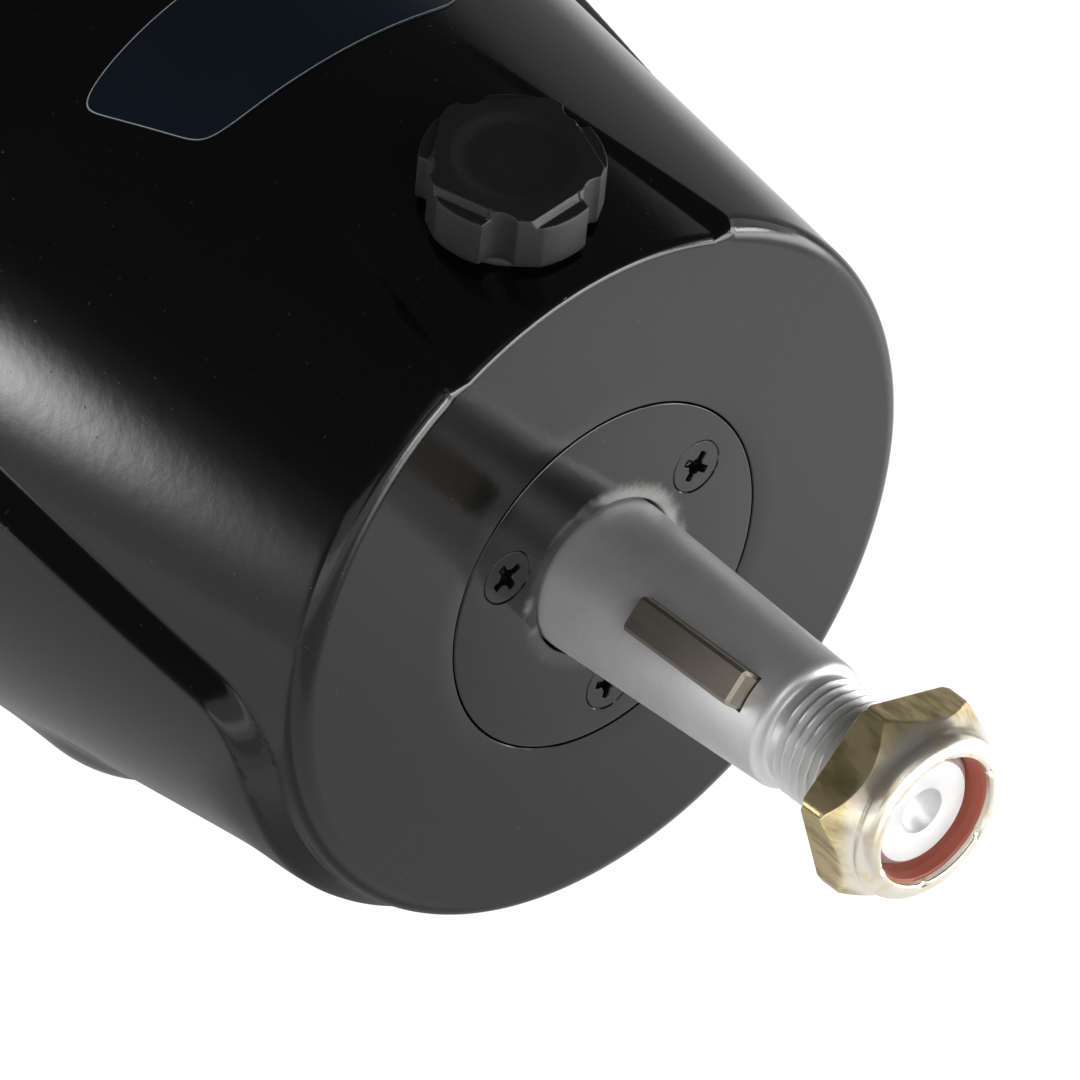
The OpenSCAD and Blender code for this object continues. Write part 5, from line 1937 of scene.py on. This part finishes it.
class Shine:
    """Brightness of the cards, where 1 is white; places are in millimetres from a card's middle."""

    @staticmethod
    def oval(across: Signal, up: Signal, half_w: float, half_h: float) -> Signal:
        """Distance from the middle: 0 there and 1 on an oval."""
        return ((across / half_w) ** 2.0 + (up / half_h) ** 2.0) ** 0.5

    @staticmethod
    def overhead(recipe: Recipe) -> Signal:
        """Dim ceiling."""
        return recipe.noise(recipe.place(), Grain(0.0005, 0.0, 0.0)) * 0.02 + 0.05

    @staticmethod
    def right(recipe: Recipe) -> Signal:
        """Grey wall that darkens towards the ceiling."""
        _, up, _ = recipe.parts(recipe.place())
        return 0.30 - up.step(20.0, 290.0) * 0.24

    @staticmethod
    def left(recipe: Recipe) -> Signal:
        """Dim wall, paler towards the floor, with a small bright soft light in its middle.

        Args:
            recipe: Material to wire.

        Returns:
            The brightness.
        """
        across, up, _ = recipe.parts(recipe.place())
        wall = 0.68 - up.step(-115.0, 60.0) * 0.54
        small, wide = Shine.oval(across, up, 56.0, 90.0), Shine.oval(across, up, 150.0, 122.0)
        core = (1.0 - small.step(0.0, 1.0)) ** 1.6 * 11.0
        return wall + core + (1.0 - wide.step(0.0, 1.0)) ** 2.0 * 2.0

    @staticmethod
    def front(recipe: Recipe) -> Signal:
        """Long low light, soft at its ends and edges.

        Args:
            recipe: Material to wire.

        Returns:
            The brightness.
        """
        across, up, _ = recipe.parts(recipe.place())
        ends, edges = (across * across) ** 0.5, (up * up) ** 0.5
        return (1.0 - ends.step(240.0, 425.0)) * (1.0 - edges.step(30.0, 94.0)) * 13.0 + 0.6

    @staticmethod
    def side(recipe: Recipe) -> Signal:
        """Smaller light, soft all round."""
        across, up, _ = recipe.parts(recipe.place())
        return (1.0 - Shine.oval(across, up, 265.0, 94.0).step(0.3, 1.0)) * 12.0 + 0.3

    @staticmethod
    def floor(recipe: Recipe) -> Signal:
        """Floor as the paint mirrors it.

        It is shaded close beside the body, dimmer far to the right, and bright far in front.

        Args:
            recipe: Material to wire.

        Returns:
            The brightness.
        """
        x, y, _ = recipe.parts(recipe.place())
        left = ((x * x) ** 0.5 / 290.0) ** 0.4 * (0.53 + y.step(-57.0, -49.0) * 0.32)
        right = 0.92 - x.step(40.0, 460.0) * 0.62
        side = left + (right - left) * x.step(-20.0, 30.0)
        front = 0.78 + x.step(5.0, 95.0) * 0.62
        front = front * (0.66 + y.step(-232.0, -208.0) * 0.34)
        near = 1.0 - y.step(-130.0, -104.0)
        under = (1.0 - y.step(-100.0, -75.0)) * x.step(-50.0, -10.0) * 0.2
        far = (1.0 - y.step(-420.0, -240.0)) * x.step(-60.0, 60.0) * 5.0
        beside = x.step(220.0, 420.0) * (1.0 - y.step(-200.0, -110.0))
        beside = beside * y.step(-420.0, -240.0) * 4.0
        return side + (front - side) * (near + under - near * under) + far + beside


@dataclass
class Studio:
    """Pale floor, soft lamps, the cards that the gloss mirrors, and the camera."""

    azimuth: float = -38.802
    elevation: float = 41.017
    roll: float = -2.655
    distance: float = 1500.0
    aim_right: float = 7.7545
    aim_down: float = 4.3396
    lens: float = 416.98
    sensor: float = 36.0
    clip: tuple[float, float] = (0.05, 50.0)
    floor_z: float = -72.7
    floor_half: float = 3000.0
    floor_white: float = 0.9
    floor_glow: float = 0.84
    floor_level: float = 1.20
    card_lift: float = 0.5
    ambient: float = 0.75

    @property
    def cards(self) -> tuple[Card, ...]:
        """The ceiling and the floor as mirrored, two walls and two low lights.

        Returns:
            The cards, in the order in which they are hung.
        """
        floor_z = self.floor_z + self.card_lift
        return (
            Card("overhead_card", (0.0, 0.0, 520.0), (1900.0, 1900.0), Shine.overhead, False, True),
            Card("floor_card", (0.0, 0.0, floor_z), (900.0, 900.0), Shine.floor, False),
            Card("right_card", (800.0, 480.0, 222.0), (560.0, 295.0), Shine.right, matt=True),
            Card("left_card", (-322.0, 97.0, 55.0), (210.0, 128.0), Shine.left),
            Card("front_card", (260.0, -900.0, 20.0), (430.0, 95.0), Shine.front),
            Card("side_card", (770.0, -560.0, 20.0), (270.0, 95.0), Shine.side))

    @property
    def lamps(self) -> tuple[Lamp, ...]:
        """A wide lamp from the left, a softbox by the camera and a low strip on the right.

        Returns:
            The lamps, in the order in which they are set up.
        """
        shaft = (0.0, -106.0, 0.0)
        return (
            Lamp("left_bounce", (-850.0, -416.0, 430.0), (0.0, -76.0, 0.0), (1000.0, 760.0), 1.5),
            Lamp("front_softbox", (-165.0, -966.0, 640.0), shaft, (420.0, 320.0), 2.6),
            Lamp("right_strip", (430.0, -896.0, 20.0), shaft, (620.0, 120.0), 1.7))

    def camera(self, target: Vector) -> None:
        """Places the camera so that the face's centre falls where the photograph has it.

        Args:
            target: Centre of the face, in millimetres.
        """
        az, el, roll = (math.radians(v) for v in (self.azimuth, self.elevation, self.roll))
        level = Vector((math.cos(az), math.sin(az), 0.0))
        back = Vector((math.sin(az) * math.cos(el), -math.cos(az) * math.cos(el), math.sin(el)))
        right = level * math.cos(roll) + back.cross(level) * math.sin(roll)
        up = back.cross(right)
        eye = target - right * self.aim_right + up * self.aim_down + back * self.distance
        data = bpy.data.cameras.new("camera")
        data.lens, data.sensor_width, data.sensor_fit = self.lens, self.sensor, "HORIZONTAL"
        data.clip_start, data.clip_end = self.clip
        camera = bpy.data.objects.new("camera", data)
        turn = Matrix((right, up, back)).transposed().to_4x4()
        camera.matrix_world = Matrix.Translation(eye * MM) @ turn
        bpy.context.scene.collection.objects.link(camera)
        bpy.context.scene.camera = camera

    @staticmethod
    def blend(tree: bpy.types.NodeTree, kinds: tuple[str, str, str],
              factor: Union[float, bpy.types.NodeSocket]) -> list[bpy.types.Node]:
        """Mixes two shaders into a tree's output.

        Args:
            tree: Tree to fill, which has no output yet.
            kinds: Type names of the first shader, the second one and the output.
            factor: Share of the second shader, as a number or a socket of this tree.

        Returns:
            The two shaders.
        """
        first, second, output = (tree.nodes.new(kind) for kind in kinds)
        mixed = tree.nodes.new("ShaderNodeMixShader")
        if isinstance(factor, float):
            mixed.inputs[0].default_value = factor
        else:
            tree.links.new(factor, mixed.inputs[0])
        tree.links.new(first.outputs[0], mixed.inputs[1])
        tree.links.new(second.outputs[0], mixed.inputs[2])
        tree.links.new(mixed.outputs[0], output.inputs[0])
        return [first, second]

    @staticmethod
    def seen(tree: bpy.types.NodeTree) -> bpy.types.NodeSocket:
        """Tells which rays see the white surroundings as they are.

        Args:
            tree: Tree to fill.

        Returns:
            1 for camera, mirror and glass rays, and 0 for others.
        """
        path = tree.nodes.new("ShaderNodeLightPath")
        total = path.outputs["Is Camera Ray"]
        for name in ("Is Glossy Ray", "Is Transmission Ray"):
            node = tree.nodes.new("ShaderNodeMath")
            node.operation = "MAXIMUM"
            tree.links.new(total, node.inputs[0])
            tree.links.new(path.outputs[name], node.inputs[1])
            total = node.outputs[0]
        return total

    def floor(self) -> None:
        """Lays the white floor, which glows enough to hide all but soft shadows."""
        floor = sheet("floor", (0.0, 0.0, self.floor_z), (self.floor_half, self.floor_half))
        material = bpy.data.materials.new("floor_white")
        material.use_nodes = True
        material.node_tree.nodes.clear()
        kinds = ("ShaderNodeBsdfDiffuse", "ShaderNodeEmission", "ShaderNodeOutputMaterial")
        matt, glow = self.blend(material.node_tree, kinds, self.floor_glow)
        matt.inputs["Color"].default_value = (*[self.floor_white] * 3, 1.0)
        glow.inputs["Strength"].default_value = self.floor_level
        floor.data.materials.append(material)

    def world(self) -> None:
        """Gives soft grey light from all round, with white where it is seen."""
        world = bpy.data.worlds.new("studio")
        world.use_nodes = True
        world.node_tree.nodes.clear()
        kinds = ("ShaderNodeBackground", "ShaderNodeBackground", "ShaderNodeOutputWorld")
        soft, white = self.blend(world.node_tree, kinds, self.seen(world.node_tree))
        soft.inputs["Strength"].default_value = self.ambient
        for shader in (soft, white):
            shader.inputs["Color"].default_value = (1.0, 1.0, 1.0, 1.0)
        bpy.context.scene.world = world

    def build(self, body: FrontBody) -> None:
        """Sets up the whole studio.

        Args:
            body: Front body that the camera looks at.
        """
        bpy.context.scene.view_settings.view_transform = "Standard"
        self.camera(Vector((0.0, body.face_y, 0.0)))
        self.floor()
        for card in self.cards:
            card.build()
        self.world()
        for lamp in self.lamps:
            lamp.build()


def main() -> None:
    """Builds every sub-assembly, dresses the CAD nodes and sets up the studio."""
    logging.basicConfig(level=logging.INFO, format="%(name)s: %(message)s")
    body = FrontBody()
    body.build()
    SealCover().build()
    SteeringShaft().build()
    WheelNut().build()
    FillerCap().build(body)
    Label().build(body)
    DashStuds().build()
    PoppetSprings().build()
    InnerPieces(frame["record"], frame["nodes"]).build()
    Studio().build(body)


if __name__ == "__main__":
    main()
